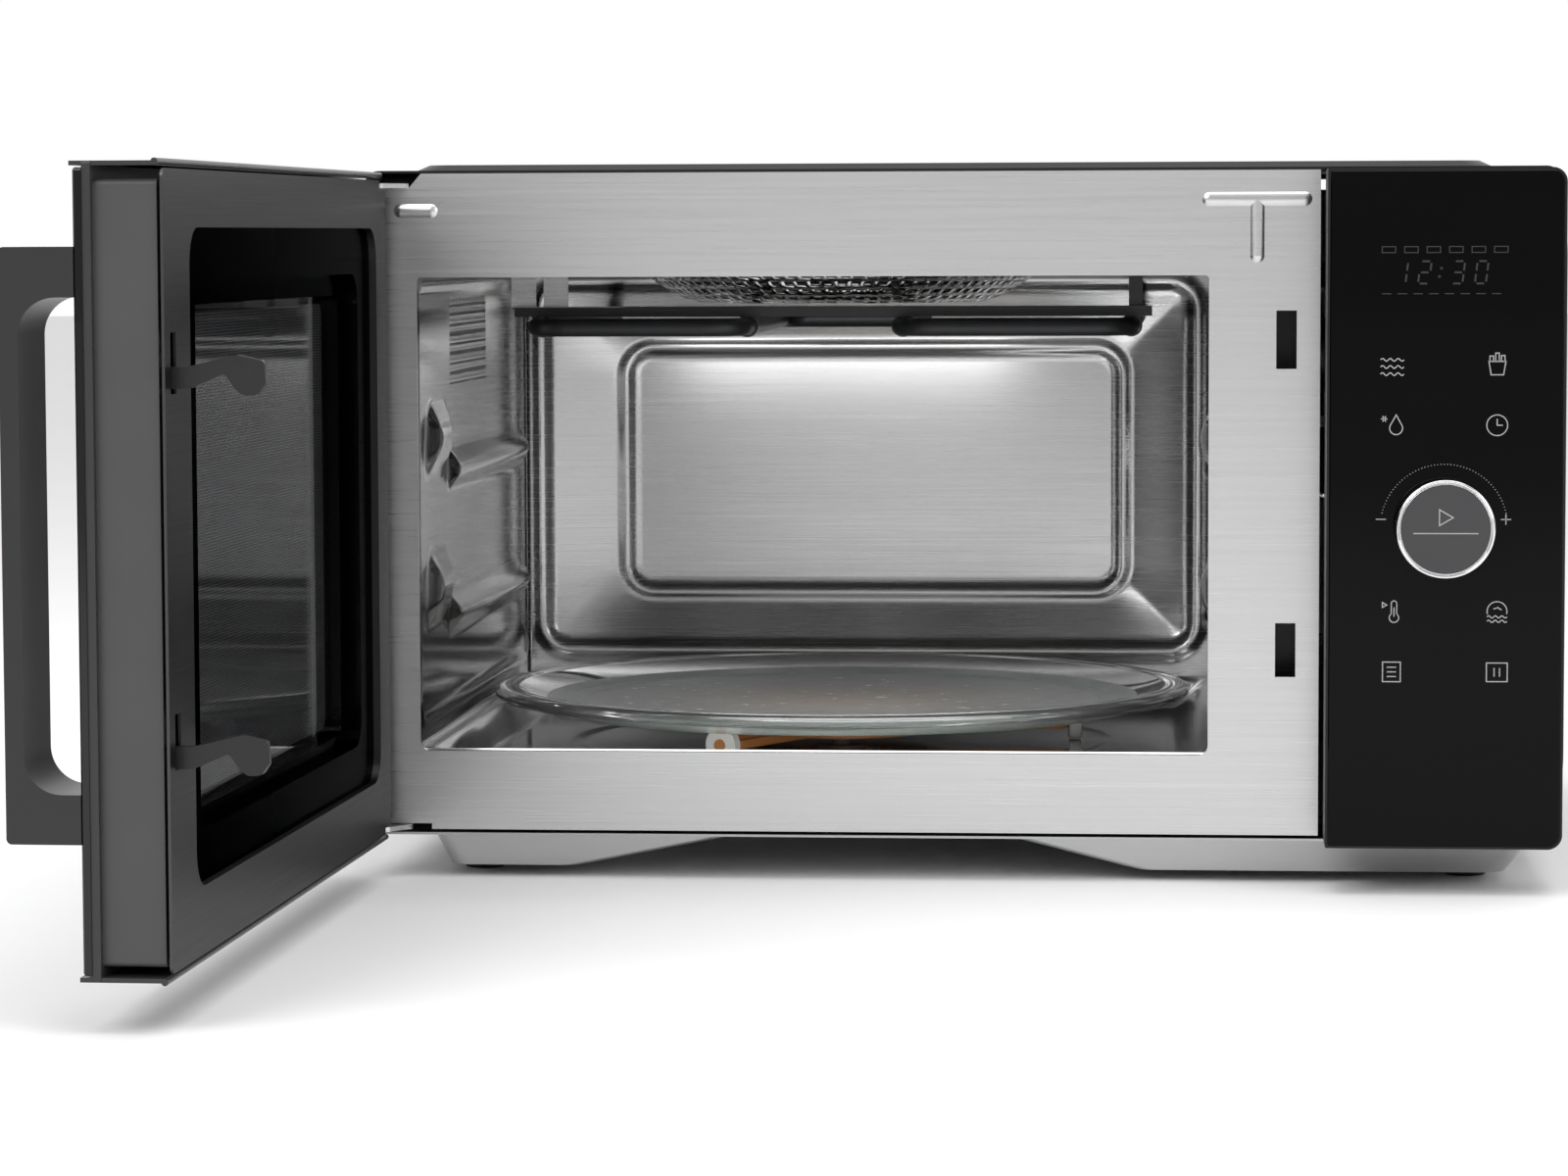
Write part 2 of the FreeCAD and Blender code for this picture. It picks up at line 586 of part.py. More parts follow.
def control_board():
    """Circuit board with its relays, transformer and connectors on the rear side."""
    y = board_y()
    pieces = [block((158.0, 242.0), (y, y + 1.6), (44.0, 284.0))]
    for x, z, w, h, d in (
        (166, 54, 18, 14, 13), (192, 54, 18, 14, 13), (218, 54, 16, 14, 13),
        (170, 196, 28, 24, 12), (210, 200, 14, 14, 5), (168, 100, 10, 30, 7),
    ):
        pieces.append(block((x, x + w), (y + 1.6, y + 1.6 + d), (z, z + h)))
    return union(pieces)


def dial_encoder():
    """Rotary encoder body on the board, behind the housing's front wall."""
    y = GLASS_T - HALF_D + 2.0
    body = block((DIAL[0] - 7, DIAL[0] + 7), (y + 0.8, board_y()), (DIAL[1] - 7, DIAL[1] + 7))
    bush = ring((DIAL[0], y - 2.0, DIAL[1]), (DIAL[0], y + 0.8, DIAL[1]), 4.2, 3.0 + RUNNING)
    return body.fuse(bush).cut(rod((DIAL[0], y, DIAL[1]), (DIAL[0], board_y() - 0.8, DIAL[1]), 3.0 + RUNNING))


def encoder_shaft():
    """The encoder's shaft, which slides in its bush when the dial is pressed."""
    back = -HALF_D - DIAL_GAP
    shaft = rod((DIAL[0], back - 9.0, DIAL[1]), (DIAL[0], board_y() - 4.0, DIAL[1]), 3.0)
    collar = rod((DIAL[0], back, DIAL[1]), (DIAL[0], back - 1.0, DIAL[1]), 3.9)
    return shaft.fuse(collar)


def dial_knob():
    """Flat-faced dial, hollow behind, with a socket for the shaft."""
    back = -HALF_D - DIAL_GAP
    front = back - DIAL_T
    body = rod((DIAL[0], back, DIAL[1]), (DIAL[0], front, DIAL[1]), DIAL_R - 2.2)
    hollow = ring((DIAL[0], back + 1, DIAL[1]), (DIAL[0], back - 8.0, DIAL[1]), DIAL_R - 4.2, 6.0)
    socket = rod((DIAL[0], back + 1, DIAL[1]), (DIAL[0], back - 9.2, DIAL[1]), 3.0 + RUNNING)
    relief = rod((DIAL[0], back + 1, DIAL[1]), (DIAL[0], back - 1.2, DIAL[1]), 4.2)
    return body.cut(hollow).cut(socket).cut(relief)


def dial_trim():
    """Metal ring round the dial."""
    back = -HALF_D - DIAL_GAP
    band = ring((DIAL[0], back, DIAL[1]), (DIAL[0], back - DIAL_T + 0.6, DIAL[1]), DIAL_R, DIAL_R - 2.2)
    lip = [e for e in band.Edges if e.BoundBox.YMax < back - DIAL_T + 0.7 and e.Curve.Radius > DIAL_R - 1]
    return band.makeChamfer(0.8, lip)


# ---------------------------------------------------------------- hinges, latch slots and switches
def hinge_bracket(tongue_z, up):
    """Steel angle behind the plate with a tongue forward through the notch to the hinge pin.

    up is 1 where the upright leg rises from the tongue and -1 where it hangs below it.
    """
    z = (tongue_z, tongue_z + 2.0)
    base_y = PLATE_Y + SHEET
    nose = 4.4
    tongue = [
        (-246.0, base_y),
        (-246.0, HINGE[1]),
        (HINGE[0] - nose * 0.5, HINGE[1] - nose),
        (HINGE[0] + nose, HINGE[1] - nose),
        (-230.0, PLATE_Y),
        (-230.0, base_y),
    ]
    flat = prism(tongue, (0, 1.0, 3.0, 3.0, 0.5, 0), "xy", *z)
    leg_z = (tongue_z, tongue_z + 30.0) if up > 0 else (tongue_z - 28.0, tongue_z + 2.0)
    leg = block((-246.0, -230.0), (base_y, base_y + 2.0), leg_z)
    return union([flat, leg])


def hinge_brackets():
    """The upper bracket, its leg hanging, and the lower one, its leg upright."""
    return Part.makeCompound([hinge_bracket(UPPER_TONGUE_Z, -1), hinge_bracket(LOWER_TONGUE_Z, 1)])


def hinge_pins():
    """Two riveted hinge pins, one under the upper tongue and one on the lower."""
    upper = rod((*HINGE, UPPER_TONGUE_Z - 8.0), (*HINGE, UPPER_TONGUE_Z), PIN_R)
    lower = rod((*HINGE, LOWER_TONGUE_Z + 2.0), (*HINGE, LOWER_TONGUE_Z + 10.0), PIN_R)
    return Part.makeCompound([upper, lower])


def interlock_housing():
    """Moulding behind the latch slots: two hook pockets, each open to the front."""
    x = (124.0, 149.0)
    y = (PLATE_Y + SHEET, -128.0)
    body = block(x, y, (72.0, 252.0))
    cuts = []
    for low, high in SLOT_Z:
        cuts.append(block((SLOT_X[0] - 1.4, SLOT_X[1] + 1.4), (y[0] - 1, -134.0), (low - 1.0, high + 2.0)))
    middle = (SLOT_Z[1][1] + 10.0, SLOT_Z[0][0] - 10.0)
    cuts.append(block((SLOT_X[0] - 4, x[1] + 1), (y[0] + 4, y[1] + 1), middle))
    return body.cut(Part.makeCompound(cuts))


def interlock_switches():
    """Three microswitches in the interlock housing's open middle bay."""
    switches = []
    bottom = SLOT_Z[1][1] + 14.0
    for i in range(3):
        z = bottom + i * 27.0
        body = block((130.0, 140.0), (PLATE_Y + 9.0, PLATE_Y + 29.0), (z, z + 16.0))
        lever = block((132.0, 138.0), (PLATE_Y + 10.0, PLATE_Y + 28.0), (z + 17.6, z + 18.1))
        knee = block((132.0, 138.0), (PLATE_Y + 27.0, PLATE_Y + 28.0), (z + 16.0, z + 17.6))
        switches.append(union([body, lever, knee]))
    return Part.makeCompound(switches)


# ---------------------------------------------------------------- works in the right-hand bay
def magnetron():
    """Magnetron: yoke round a stack of cooling fins, filter box below, antenna to the left."""
    x0, y0, z0 = 132.0, -14.0, 184.0
    yoke = block((x0, x0 + 54), (y0, y0 + 78), (z0, z0 + 62))
    yoke = yoke.cut(block((x0 + 2, x0 + 52), (y0 - 1, y0 + 79), (z0 + 2, z0 + 60)))
    pieces = [yoke]
    pieces.append(rod((x0 + 1, y0 + 39, z0 + 31), (x0 + 53, y0 + 39, z0 + 31), 17.0))
    for i in range(9):
        x = x0 + 8.0 + i * 4.5
        pieces.append(block((x, x + 0.8), (y0 + 1, y0 + 77), (z0 + 2, z0 + 60)))
    pieces.append(block((x0 + 54, x0 + 78), (y0 + 14, y0 + 64), (z0 + 6, z0 + 56)))
    pieces.append(rod((x0 - 18, y0 + 39, z0 + 31), (x0, y0 + 39, z0 + 31), 7.5))
    return union(pieces)


def waveguide():
    """Short duct from the magnetron's antenna to the mouth in the cavity wall."""
    wall = CAVITY_X + CAVITY_HALF + SHEET
    outer = block((wall, 132.0), (-22.0, 72.0), (181.0, 247.0))
    inner = block((wall - 1, 131.0), (-21.0, 71.0), (206.0, 246.0))
    lower = block((wall + 1, 131.0), (-21.0, 71.0), (182.0, 246.0))
    antenna = rod((120.0, 25.0, 215.0), (140.0, 25.0, 215.0), 8.5)
    return outer.cut(inner).cut(lower).cut(antenna)


def transformer():
    """High-voltage transformer: laminated core, two windings and a foot plate."""
    x, y, z = (132.0, 224.0), (-120.0, -44.0), (PAN_Z + SHEET, 0)
    foot = block((x[0] - 6, x[1] + 6), y, (z[0], z[0] + 2.0))
    core = block(x, (y[0] + 10, y[1] - 10), (z[0] + 2.0, z[0] + 76.0))
    coils = []
    for low in (z[0] + 10.0, z[0] + 42.0):
        coils.append(prism(rect(x[0] + 14, x[1] - 14, y[0] - 8, y[1] + 8), 12.0, "xy", low, low + 27.0))
    return union([foot, core, *coils])


def capacitor():
    """Oval high-voltage capacitor can with two terminals."""
    z = PAN_Z + SHEET
    can = prism(rect(142.0, 196.0, 20.0, 112.0), 15.0, "xy", z, z + 34.0)
    posts = [block((154.0 + 20 * i, 158.0 + 20 * i), (62.0, 70.0), (z + 34.0, z + 44.0)) for i in range(2)]
    return union([can, *posts])


def fan_shroud():
    """Square plate with a round throat in front of the rear vents."""
    x, z = FAN_CENTRE
    outer = (x - 50, x + 50, z - 50, z + 50)
    plate = prism(rect(*outer), 4.0, "xz", FAN_Y - 6.0, FAN_Y - 4.0)
    throat = rod((x, FAN_Y - 30, z), (x, REAR_Y, z), 45.0)
    lip = ring((x, FAN_Y - 4.0, z), (x, FAN_Y + 14.0, z), 47.0, 45.0)
    posts = []
    for dx in (-44, 44):
        for dz in (-44, 44):
            posts.append(rod((x + dx, FAN_Y - 4.0, z + dz), (x + dx, REAR_Y, z + dz), 3.0))
    return union([plate, lip, *posts]).cut(throat)


def fan_motor():
    """Shaded-pole motor in front of the cooling fan, on a bridge across the shroud."""
    x, z = FAN_CENTRE
    y = FAN_Y - 6.0
    bridge = block((x - 50, x + 50), (y - 2.0, y), (z - 7, z + 7))
    core = prism(rect(x - 24, x + 24, z - 28, z + 28), 2.0, "xz", y - 18.0, y - 2.0)
    coil = prism(rect(x - 18, x + 18, z - 40, z - 20), 5.0, "xz", y - 26.0, y - 3.0)
    body = union([bridge, core, coil])
    return body.cut(rod((x, y - 30.0, z), (x, y + 1.0, z), 2.5 + RUNNING))


def cooling_fan():
    """Axial cooling fan and its shaft."""
    x, z = FAN_CENTRE
    wheel = blade_wheel((0, 0, 0), 12.0, 42.0, 11.0, 5, 32.0, 1.4)
    shaft = rod((0, 0, -26.0), (0, 0, 1.0), 2.5)
    fan = union([wheel, shaft])
    fan = turned(fan, (0, 0, 0), (1, 0, 0), -90)
    return moved(fan, x, FAN_Y - 3.0, z)


def oven_lamp():
    """Lamp and holder outside the perforated patch of the right wall."""
    wall = CAVITY_X + CAVITY_HALF + SHEET
    plate = block((wall, wall + 1.0), (96.0, 144.0), (204.0, 246.0))
    plate = plate.cut(block((wall - 1, wall + 2), (100.0, 140.0), (210.0, 240.0)))
    holder = rod((wall + 14.0, 120.0, 225.0), (wall + 34.0, 120.0, 225.0), 11.0)
    bulb = Part.makeSphere(9.0, Vec(wall + 12.0, 120.0, 225.0), Vec(1, 0, 0))
    arms = [block((wall, wall + 20.0), (118.0, 122.0), z) for z in ((205.0, 209.0), (241.0, 245.0))]
    straps = [block((wall + 18.0, wall + 20.0), (118.0, 122.0), z) for z in ((205.0, 218.0), (232.0, 245.0))]
    return union([plate, holder, bulb, *arms, *straps])


def thermal_cutouts():
    """Two snap-disc cutouts: one on the cavity's right wall, one on the magnetron."""
    wall = CAVITY_X + CAVITY_HALF + SHEET
    cutouts = []
    for start, out in (((wall, -60.0, 150.0), (1, 0, 0)), ((159.0, 25.0, 246.0), (0, 0, 1))):
        base = Part.makeCylinder(9.0, 4.0, Vec(*start), Vec(*out))
        top = Part.makeCylinder(7.0, 7.0, Vec(*start) + Vec(*out) * 4.0, Vec(*out))
        cutouts.append(union([base, top]))
    return Part.makeCompound(cutouts)


def noise_filter():
    """Mains filter board on the rear part of the base pan."""
    z = PAN_Z + SHEET
    pieces = [block((158.0, 226.0), (146.0, 186.0), (z + 6.0, z + 7.6))]
    pieces.append(rod((178.0, 166.0, z + 7.6), (178.0, 166.0, z + 22.0), 11.0))
    pieces.append(block((196.0, 222.0), (152.0, 166.0), (z + 7.6, z + 24.0)))
    for x in (161.0, 223.0):
        for y in (149.0, 183.0):
            pieces.append(rod((x, y, z), (x, y, z + 6.0), 2.0))
    return union(pieces)


# ---------------------------------------------------------------- turntable
def turntable_motor():
    """Synchronous motor hung under the cavity floor."""
    top = FLOOR_Z - SHEET
    can = rod((CAVITY_X, 0, top - 17.0), (CAVITY_X, 0, top), 24.5)
    ears = block((CAVITY_X - 33, CAVITY_X + 33), (-6, 6), (top - 1.5, top))
    return union([can, ears]).cut(rod((CAVITY_X, 0, top - 9.0), (CAVITY_X, 0, top + 1), 4.0 + RUNNING))


def drive_coupler():
    """Three-lobed coupler on the motor's shaft, under the middle of the tray."""
    stem = rod((CAVITY_X, 0, FLOOR_Z - 9.0), (CAVITY_X, 0, FLOOR_Z + 4.0), 4.0)
    disc = rod((CAVITY_X, 0, FLOOR_Z + 2.0), (CAVITY_X, 0, FLOOR_Z + 7.0), 11.0)
    pieces = [stem, disc]
    for i in range(3):
        lobe = prism(rect(CAVITY_X + 4, CAVITY_X + 17, -4, 4), 2.0, "xy", FLOOR_Z + 3.0, TRAY_Z)
        pieces.append(turned(lobe, (CAVITY_X, 0, 0), (0, 0, 1), 120.0 * i))
    return union(pieces)


def glass_tray():
    """Pressed glass tray: flat base, sloped border and rounded rim, with three drive lugs."""
    base_r = 133.0
    t = 4.6
    rim_z = TRAY_Z + 11.2
    profile = [
        (0.0, TRAY_Z),
        (base_r, TRAY_Z),
        (TRAY_R - 9.0, rim_z - 5.0),
        (TRAY_R, rim_z - 4.2),
        (TRAY_R, rim_z),
        (TRAY_R - 10.0, rim_z),
        (TRAY_R - 15.0, rim_z - 2.6),
        (base_r - 6.0, TRAY_Z + t - 1.0),
        (base_r - 14.0, TRAY_Z + t - 1.6),
        (0.0, TRAY_Z + t - 1.6),
    ]
    face = Part.Face(outline(profile, (0, 6.0, 2.0, 2.0, 1.9, 3.0, 3.0, 3.0, 3.0, 0), "xz", 0.0))
    tray = moved(face.revolve(Vec(0, 0, 0), Vec(0, 0, 1), 360), CAVITY_X)
    pieces = [tray]
    for i in range(3):
        lug = rod((CAVITY_X + 11.0, 0, TRAY_Z - 4.0), (CAVITY_X + 11.0, 0, TRAY_Z + 1.0), 2.4)
        pieces.append(turned(lug, (CAVITY_X, 0, 0), (0, 0, 1), 60.0 + 120.0 * i))
    return union(pieces)


def roller_ring():
    """Three-armed carrier: a round hub plate, tapered arms and a stub axle for each roller."""
    z = (ROLLER_Z - 3.0, ROLLER_Z + 3.0)
    web = (z[0] + 1.0, z[1] - 1.5)
    hub = union([
        ring((CAVITY_X, 0, web[0]), (CAVITY_X, 0, web[1]), 42.0, 23.0),
        ring((CAVITY_X, 0, z[0]), (CAVITY_X, 0, z[1]), 42.0, 39.0),
        ring((CAVITY_X, 0, z[0]), (CAVITY_X, 0, z[1]), 26.0, 23.0),
    ])
    pieces = [hub]
    shoulder = ROLLER_TRACK - ROLLER_W / 2 - 1.2
    for angle in ROLLER_ANGLES:
        wide, narrow, near = 11.0, 6.5, CAVITY_X + 39.0
        plan = [(near, -wide), (CAVITY_X + shoulder, -narrow), (CAVITY_X + shoulder, narrow), (near, wide)]
        arm = prism(plan, (0, 2.5, 2.5, 0), "xy", *web)
        rib = block((near, CAVITY_X + shoulder - 1.0), (-2.0, 2.0), z)
        tip = CAVITY_X + ROLLER_TRACK + ROLLER_W / 2 + 0.6
        axle = rod((CAVITY_X + shoulder - 4.0, 0, ROLLER_Z), (tip, 0, ROLLER_Z), AXLE_R)
        pieces.append(turned(union([arm, rib, axle]), (CAVITY_X, 0, 0), (0, 0, 1), angle))
    return union(pieces)


def roller(angle):
    """One roller wheel on its radial axle."""
    half = ROLLER_W / 2
    wheel = ring(
        (CAVITY_X + ROLLER_TRACK - half, 0, ROLLER_Z),
        (CAVITY_X + ROLLER_TRACK + half, 0, ROLLER_Z),
        ROLLER_R,
        AXLE_R + RUNNING,
    )
    edges = [e for e in wheel.Edges if hasattr(e.Curve, "Radius") and e.Curve.Radius > ROLLER_R - 0.1]
    wheel = wheel.makeChamfer(0.5, [e for e in edges if e.isClosed()])
    return turned(wheel, (CAVITY_X, 0, 0), (0, 0, 1), angle)


# ---------------------------------------------------------------- door, built shut
def at(depth):
    """The y of a door layer, from its depth outwards from the door's inner face."""
    return PLATE_Y - DOOR_GAP - depth


def layer(outer, outer_r, inner, inner_r, depths):
    """A flat frame of the door between two depths."""
    return frame(outer, outer_r, inner, inner_r, "xz", at(depths[1]), at(depths[0]))


def hinge_relief(z_low, z_high):
    """Round clearance about the hinge axis for a bracket's tongue."""
    return rod((*HINGE, z_low), (*HINGE, z_high), 17.0)


def door_glass():
    """Outer glass of the door with a bevelled edge."""
    height = (DOOR_Z[0] + 2.2, DOOR_Z[1] - 2.2)
    glass = prism(rect(*DOOR_X, *height), (5.0, 1.2, 1.2, 5.0), "xz", at(DOOR_T), at(DOOR_T - 3.0))
    front = [e for e in glass.Edges if e.BoundBox.YMax < at(DOOR_T) + 1e-4]
    return glass.makeChamfer(0.6, front)


def door_front_frame():
    """Frame behind the outer glass; a lip with a rolled inner edge covers the door's top and bottom."""
    outer = (DOOR_X[0] + 1.0, DOOR_X[1] - 0.6, DOOR_Z[0], DOOR_Z[1])
    hole = (-196.0, 94.0, 58.0, 258.0)
    base = layer(outer, (4.0, 1.0, 1.0, 4.0), hole, 8.0, (DOOR_T - 6.0, DOOR_T - 3.0))
    lip_x = (outer[0] + 6.0, outer[1] - 0.4)
    pieces = [base]
    for edge, inward in ((DOOR_Z[1], -1), (DOOR_Z[0], 1)):
        level = sorted((edge, edge + inward * LIP_T))
        pieces.append(block(lip_x, (at(DOOR_T + LIP_PROUD), at(2.2)), level))
        roll_z = edge + inward * LIP_T / 2 - inward * 0.5
        pieces.append(rod((lip_x[0], at(2.6), roll_z), (lip_x[1], at(2.6), roll_z), 1.2))
    return union(pieces)


def door_side_frame():
    """Side walls of the door, open front and back, with windows for the hinge ears."""
    outer = (DOOR_X[0], 146.4, *SIDE_Z)
    inner = (DOOR_X[0] + 1.6, 144.0, SIDE_Z[0] + 2.2, SIDE_Z[1] - 2.2)
    walls = layer(outer, 2.0, inner, 1.5, (2.5, 24.5))
    web_inner = grow(RECESS, 10.0)
    web = layer(grow(outer, -0.5), 2.0, web_inner, 10.0, (22.0, 24.5))
    cuts = []
    for z in (UPPER_TONGUE_Z - 7.4, LOWER_TONGUE_Z + 4.8):
        cuts.append(block((DOOR_X[0] - 1, DOOR_X[0] + 2), (at(13.0), at(0.5)), (z - 0.4, z + 2.9)))
        cuts.append(rod((*HINGE, z - 4.5), (*HINGE, z + 7.0), PIN_R + 0.5))
    return union([walls, web]).cut(Part.makeCompound(cuts))


def door_inner_panel():
    """Flat inner panel round the window recess, with slits for the hooks and hinge notches."""
    corner = 3.0
    panel = layer((*INNER_X, *INNER_Z), corner, RECESS, 13.0, (0.0, SHEET))
    turned_in = layer(grow(RECESS, SHEET), 14.0, RECESS, 13.0, (SHEET, 3.0))
    above = hinge_relief(UPPER_TONGUE_Z - 1.0, INNER_Z[1] + 1)
    below = hinge_relief(INNER_Z[0] - 1, LOWER_TONGUE_Z + 3.2)
    cuts = [above, below]
    for low, high in SLOT_Z:
        cuts.append(block((SLOT_X[0], SLOT_X[1] - 0.4), (at(SHEET + 1), at(-1)), (low + 2.8, high - 0.4)))
    return union([panel, turned_in]).cut(Part.makeCompound(cuts))


def door_choke_frame():
    """Black stepped steel frame in the recess, with the two hinge ears and the window's seat."""
    outer = grow(RECESS, 12.0)
    steps = [
        layer(outer, 16.0, CHOKE_HOLE, 12.0, (3.0, 4.0)),
        layer(grow(CHOKE_HOLE, SHEET), 13.0, CHOKE_HOLE, 12.0, (4.0, 8.0)),
        layer(grow(CHOKE_HOLE, SHEET), 13.0, WINDOW, 6.0, (8.0, 9.0)),
        layer(grow(WINDOW, SHEET), 7.0, WINDOW, 6.0, (9.0, 14.0)),
        layer(grow(WINDOW, 9.0), 9.0, grow(WINDOW, -3.0), 5.0, (14.0, 15.0)),
    ]
    for z in (UPPER_TONGUE_Z - 7.0, LOWER_TONGUE_Z + 5.2):
        ear = block((-247.6, outer[0] + 2.0), (at(12.0), at(1.4)), (z, z + 2.1))
        neck = block((outer[0], outer[0] + 2.0), (at(12.0), at(3.0)), ear_neck(z))
        bore = rod((*HINGE, z - 1), (*HINGE, z + 4), PIN_R + RUNNING)
        steps.append(union([ear, neck]).cut(bore))
    return union(steps)


def ear_neck(z):
    """Upright web that ties a hinge ear to the choke frame."""
    middle = (RECESS[2] + RECESS[3]) / 2
    return (z - 20.0, z + 2.1) if z > middle else (z, z + 22.0)


def door_mesh():
    """Perforated screen behind the window's seat."""
    return prism(rect(*grow(WINDOW, 8.0)), 8.0, "xz", at(15.6), at(15.0))


def door_inner_glass():
    """Inner window pane, seated in the choke frame."""
    return prism(rect(*grow(WINDOW, -0.1)), 5.9, "xz", at(14.0), at(12.4))


def door_handle():
    """Flat loop handle at the free edge: two arms and a grip bar with rounded inner corners."""
    outer_y = at(DOOR_T + HANDLE_REACH)
    face_y = at(DOOR_T)
    outer = rect(outer_y, face_y, *HANDLE_Z)
    body = prism(outer, (2.0, 0, 0, 2.0), "yz", DOOR_X[1] - HANDLE_W, DOOR_X[1])
    gap = rect(outer_y + 6.5, face_y + 20.0, HANDLE_Z[0] + 17.0, HANDLE_Z[1] - 17.0)
    return body.cut(prism(gap, (13.0, 0, 0, 13.0), "yz", DOOR_X[1] - HANDLE_W - 1, DOOR_X[1] + 1))


def hook_profile(drop):
    """Outline of one hook in depth and height: a rising arm and a head that hangs behind it."""
    points = [
        (7.0, 218.6),
        (-6.3, 219.2),
        (-17.4, 224.0),
        (-18.8, 223.4),
        (-21.5, 219.0),
        (-24.5, 216.8),
        (-29.0, 216.8),
        (-31.7, 220.8),
        (-31.2, 228.4),
        (-22.3, 230.5),
        (-5.5, 226.5),
        (7.0, 226.2),
    ]
    return [(at(depth), z - drop) for depth, z in points]


def latch_bar():
    """One moulding: a rail inside the door with both hooks standing out through the slits."""
    x = (133.6, 138.6)
    radii = (0, 3.0, 1.0, 1.0, 3.0, 2.0, 2.5, 1.0, 1.5, 3.0, 2.0, 0)
    hooks = []
    for drop in (0.0, HOOK_DROP):
        hook = prism(hook_profile(drop), radii, "yz", *x)
        nose = block((x[1], x[1] + 12.0), (at(-26.0), at(-46.0)), (200.0 - drop, 240.0 - drop))
        bevel = turned(nose, (x[1], at(-26.0), 0), (0, 0, 1), 24.0)
        hooks.append(hook.cut(bevel))
    rail = block((130.6, 139.6), (at(10.0), at(5.0)), (84.0, 231.0))
    peg = block((133.0, 138.0), (at(9.5), at(5.5)), (78.0, 84.0))
    return union([*hooks, rail, peg])


def latch_spring():
    """Coil spring under the latch rail that pulls the hooks down."""
    helix = Part.makeHelix(2.2, 14.6, 2.2)
    section = Part.Wire(Part.makeCircle(0.4, Vec(2.2, 0, 0), Vec(0, 1, 0)))
    coil = Part.Wire(helix.Edges).makePipeShell([section], True, True)
    return moved(coil, 135.5, at(7.5), 62.9)


def latch_anchor():
    """Small shelf of the side frame that holds the spring's lower end."""
    return block((129.0, 144.2), (at(13.0), at(4.0)), (60.0, 62.4))


def opened(shape):
    """Swing a shut door piece into the open rest position."""
    return turned(shape, (*HINGE, 0), (0, 0, 1), -DOOR_OPEN_DEG)


FIXED = {
    "front_plate": front_plate,
    "cavity_floor": cavity_floor,
    "cavity_left_wall": lambda: side_wall(-1),
    "cavity_right_wall": lambda: side_wall(1),
    "cavity_ceiling": cavity_ceiling,
    "cavity_back_wall": cavity_back_wall,
    "waveguide_cover": waveguide_cover,
    "ceiling_grille": ceiling_grille,
    "grill_heater": grill_heater,
    "grill_bracket": grill_bracket,
    "hot_air_housing": hot_air_housing,
    "hot_air_heater": hot_air_heater,
    "hot_air_motor": hot_air_motor,
    "hot_air_fan": hot_air_fan,
    "outer_cover": cover,
    "base_pan": base_pan,
    "foot_pods": foot_pods,
    "rubber_feet": rubber_feet,
    "rear_panel": rear_panel,
    "mains_inlet": mains_inlet,
    "cover_screws": cover_screws,
    "control_housing": control_housing,
    "control_glass": control_glass,
    "display_module": display_module,
    "control_board": control_board,
    "dial_encoder": dial_encoder,
    "encoder_shaft": encoder_shaft,
    "dial_knob": dial_knob,
    "dial_trim": dial_trim,
    "hinge_brackets": hinge_brackets,
    "hinge_pins": hinge_pins,
    "interlock_housing": interlock_housing,
    "interlock_switches": interlock_switches,
    "magnetron": magnetron,
    "waveguide": waveguide,
    "transformer": transformer,
    "capacitor": capacitor,
    "fan_shroud": fan_shroud,
    "fan_motor": fan_motor,
    "cooling_fan": cooling_fan,
    "oven_lamp": oven_lamp,
    "thermal_cutouts": thermal_cutouts,
    "noise_filter": noise_filter,
    "turntable_motor": turntable_motor,
    "drive_coupler": drive_coupler,
    "glass_tray": glass_tray,
    "roller_ring": roller_ring,
}

ON_DOOR = {
    "door_glass": door_glass,
    "door_front_frame": door_front_frame,
    "door_side_frame": lambda: union([door_side_frame(), latch_anchor()]),
    "door_inner_panel": door_inner_panel,
    "door_choke_frame": door_choke_frame,
    "door_mesh": door_mesh,
    "door_inner_glass": door_inner_glass,
    "door_handle": door_handle,
    "latch_bar": latch_bar,
    "latch_spring": latch_spring,
}


def write(name, shape):
    """Export one piece, after a check that it is sound."""
    if not shape.isValid() or not shape.Solids:
        raise RuntimeError(f"{name} is not a valid solid")
    print(f"{name}: {len(shape.Solids)} solid(s), {shape.Volume / 1000:.1f} cm3")
    shape.exportStep(f"parts/{name}.step")


def main():
    os.makedirs("parts", exist_ok=True)
    for name, make in FIXED.items():
        write(name, make())
    for name, make in ON_DOOR.items():
        write(name, opened(make()))
    for i, angle in enumerate(ROLLER_ANGLES):
        write(f"roller_{i + 1}", roller(angle))


main()
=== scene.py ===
import math
import random
import bpy
from mathutils import Matrix, Vector


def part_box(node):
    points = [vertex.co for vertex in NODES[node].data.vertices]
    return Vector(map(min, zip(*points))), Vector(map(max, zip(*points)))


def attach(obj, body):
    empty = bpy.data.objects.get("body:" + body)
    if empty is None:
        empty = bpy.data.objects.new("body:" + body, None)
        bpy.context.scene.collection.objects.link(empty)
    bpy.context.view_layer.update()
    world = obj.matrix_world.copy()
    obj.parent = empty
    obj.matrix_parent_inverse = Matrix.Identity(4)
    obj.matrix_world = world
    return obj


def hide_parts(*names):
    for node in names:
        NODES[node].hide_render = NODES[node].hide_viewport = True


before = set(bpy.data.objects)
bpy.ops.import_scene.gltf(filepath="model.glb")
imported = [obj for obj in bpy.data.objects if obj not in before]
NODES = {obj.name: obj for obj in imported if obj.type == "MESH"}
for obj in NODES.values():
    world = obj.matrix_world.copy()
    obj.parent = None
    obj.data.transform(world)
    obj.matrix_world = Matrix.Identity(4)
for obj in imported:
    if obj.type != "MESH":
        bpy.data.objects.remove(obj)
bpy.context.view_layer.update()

MM = 0.001
RNG = random.Random(7)


# ---------------------------------------------------------------- sizes read from the frame
def low(node):
    return Vector(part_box(node)[0])


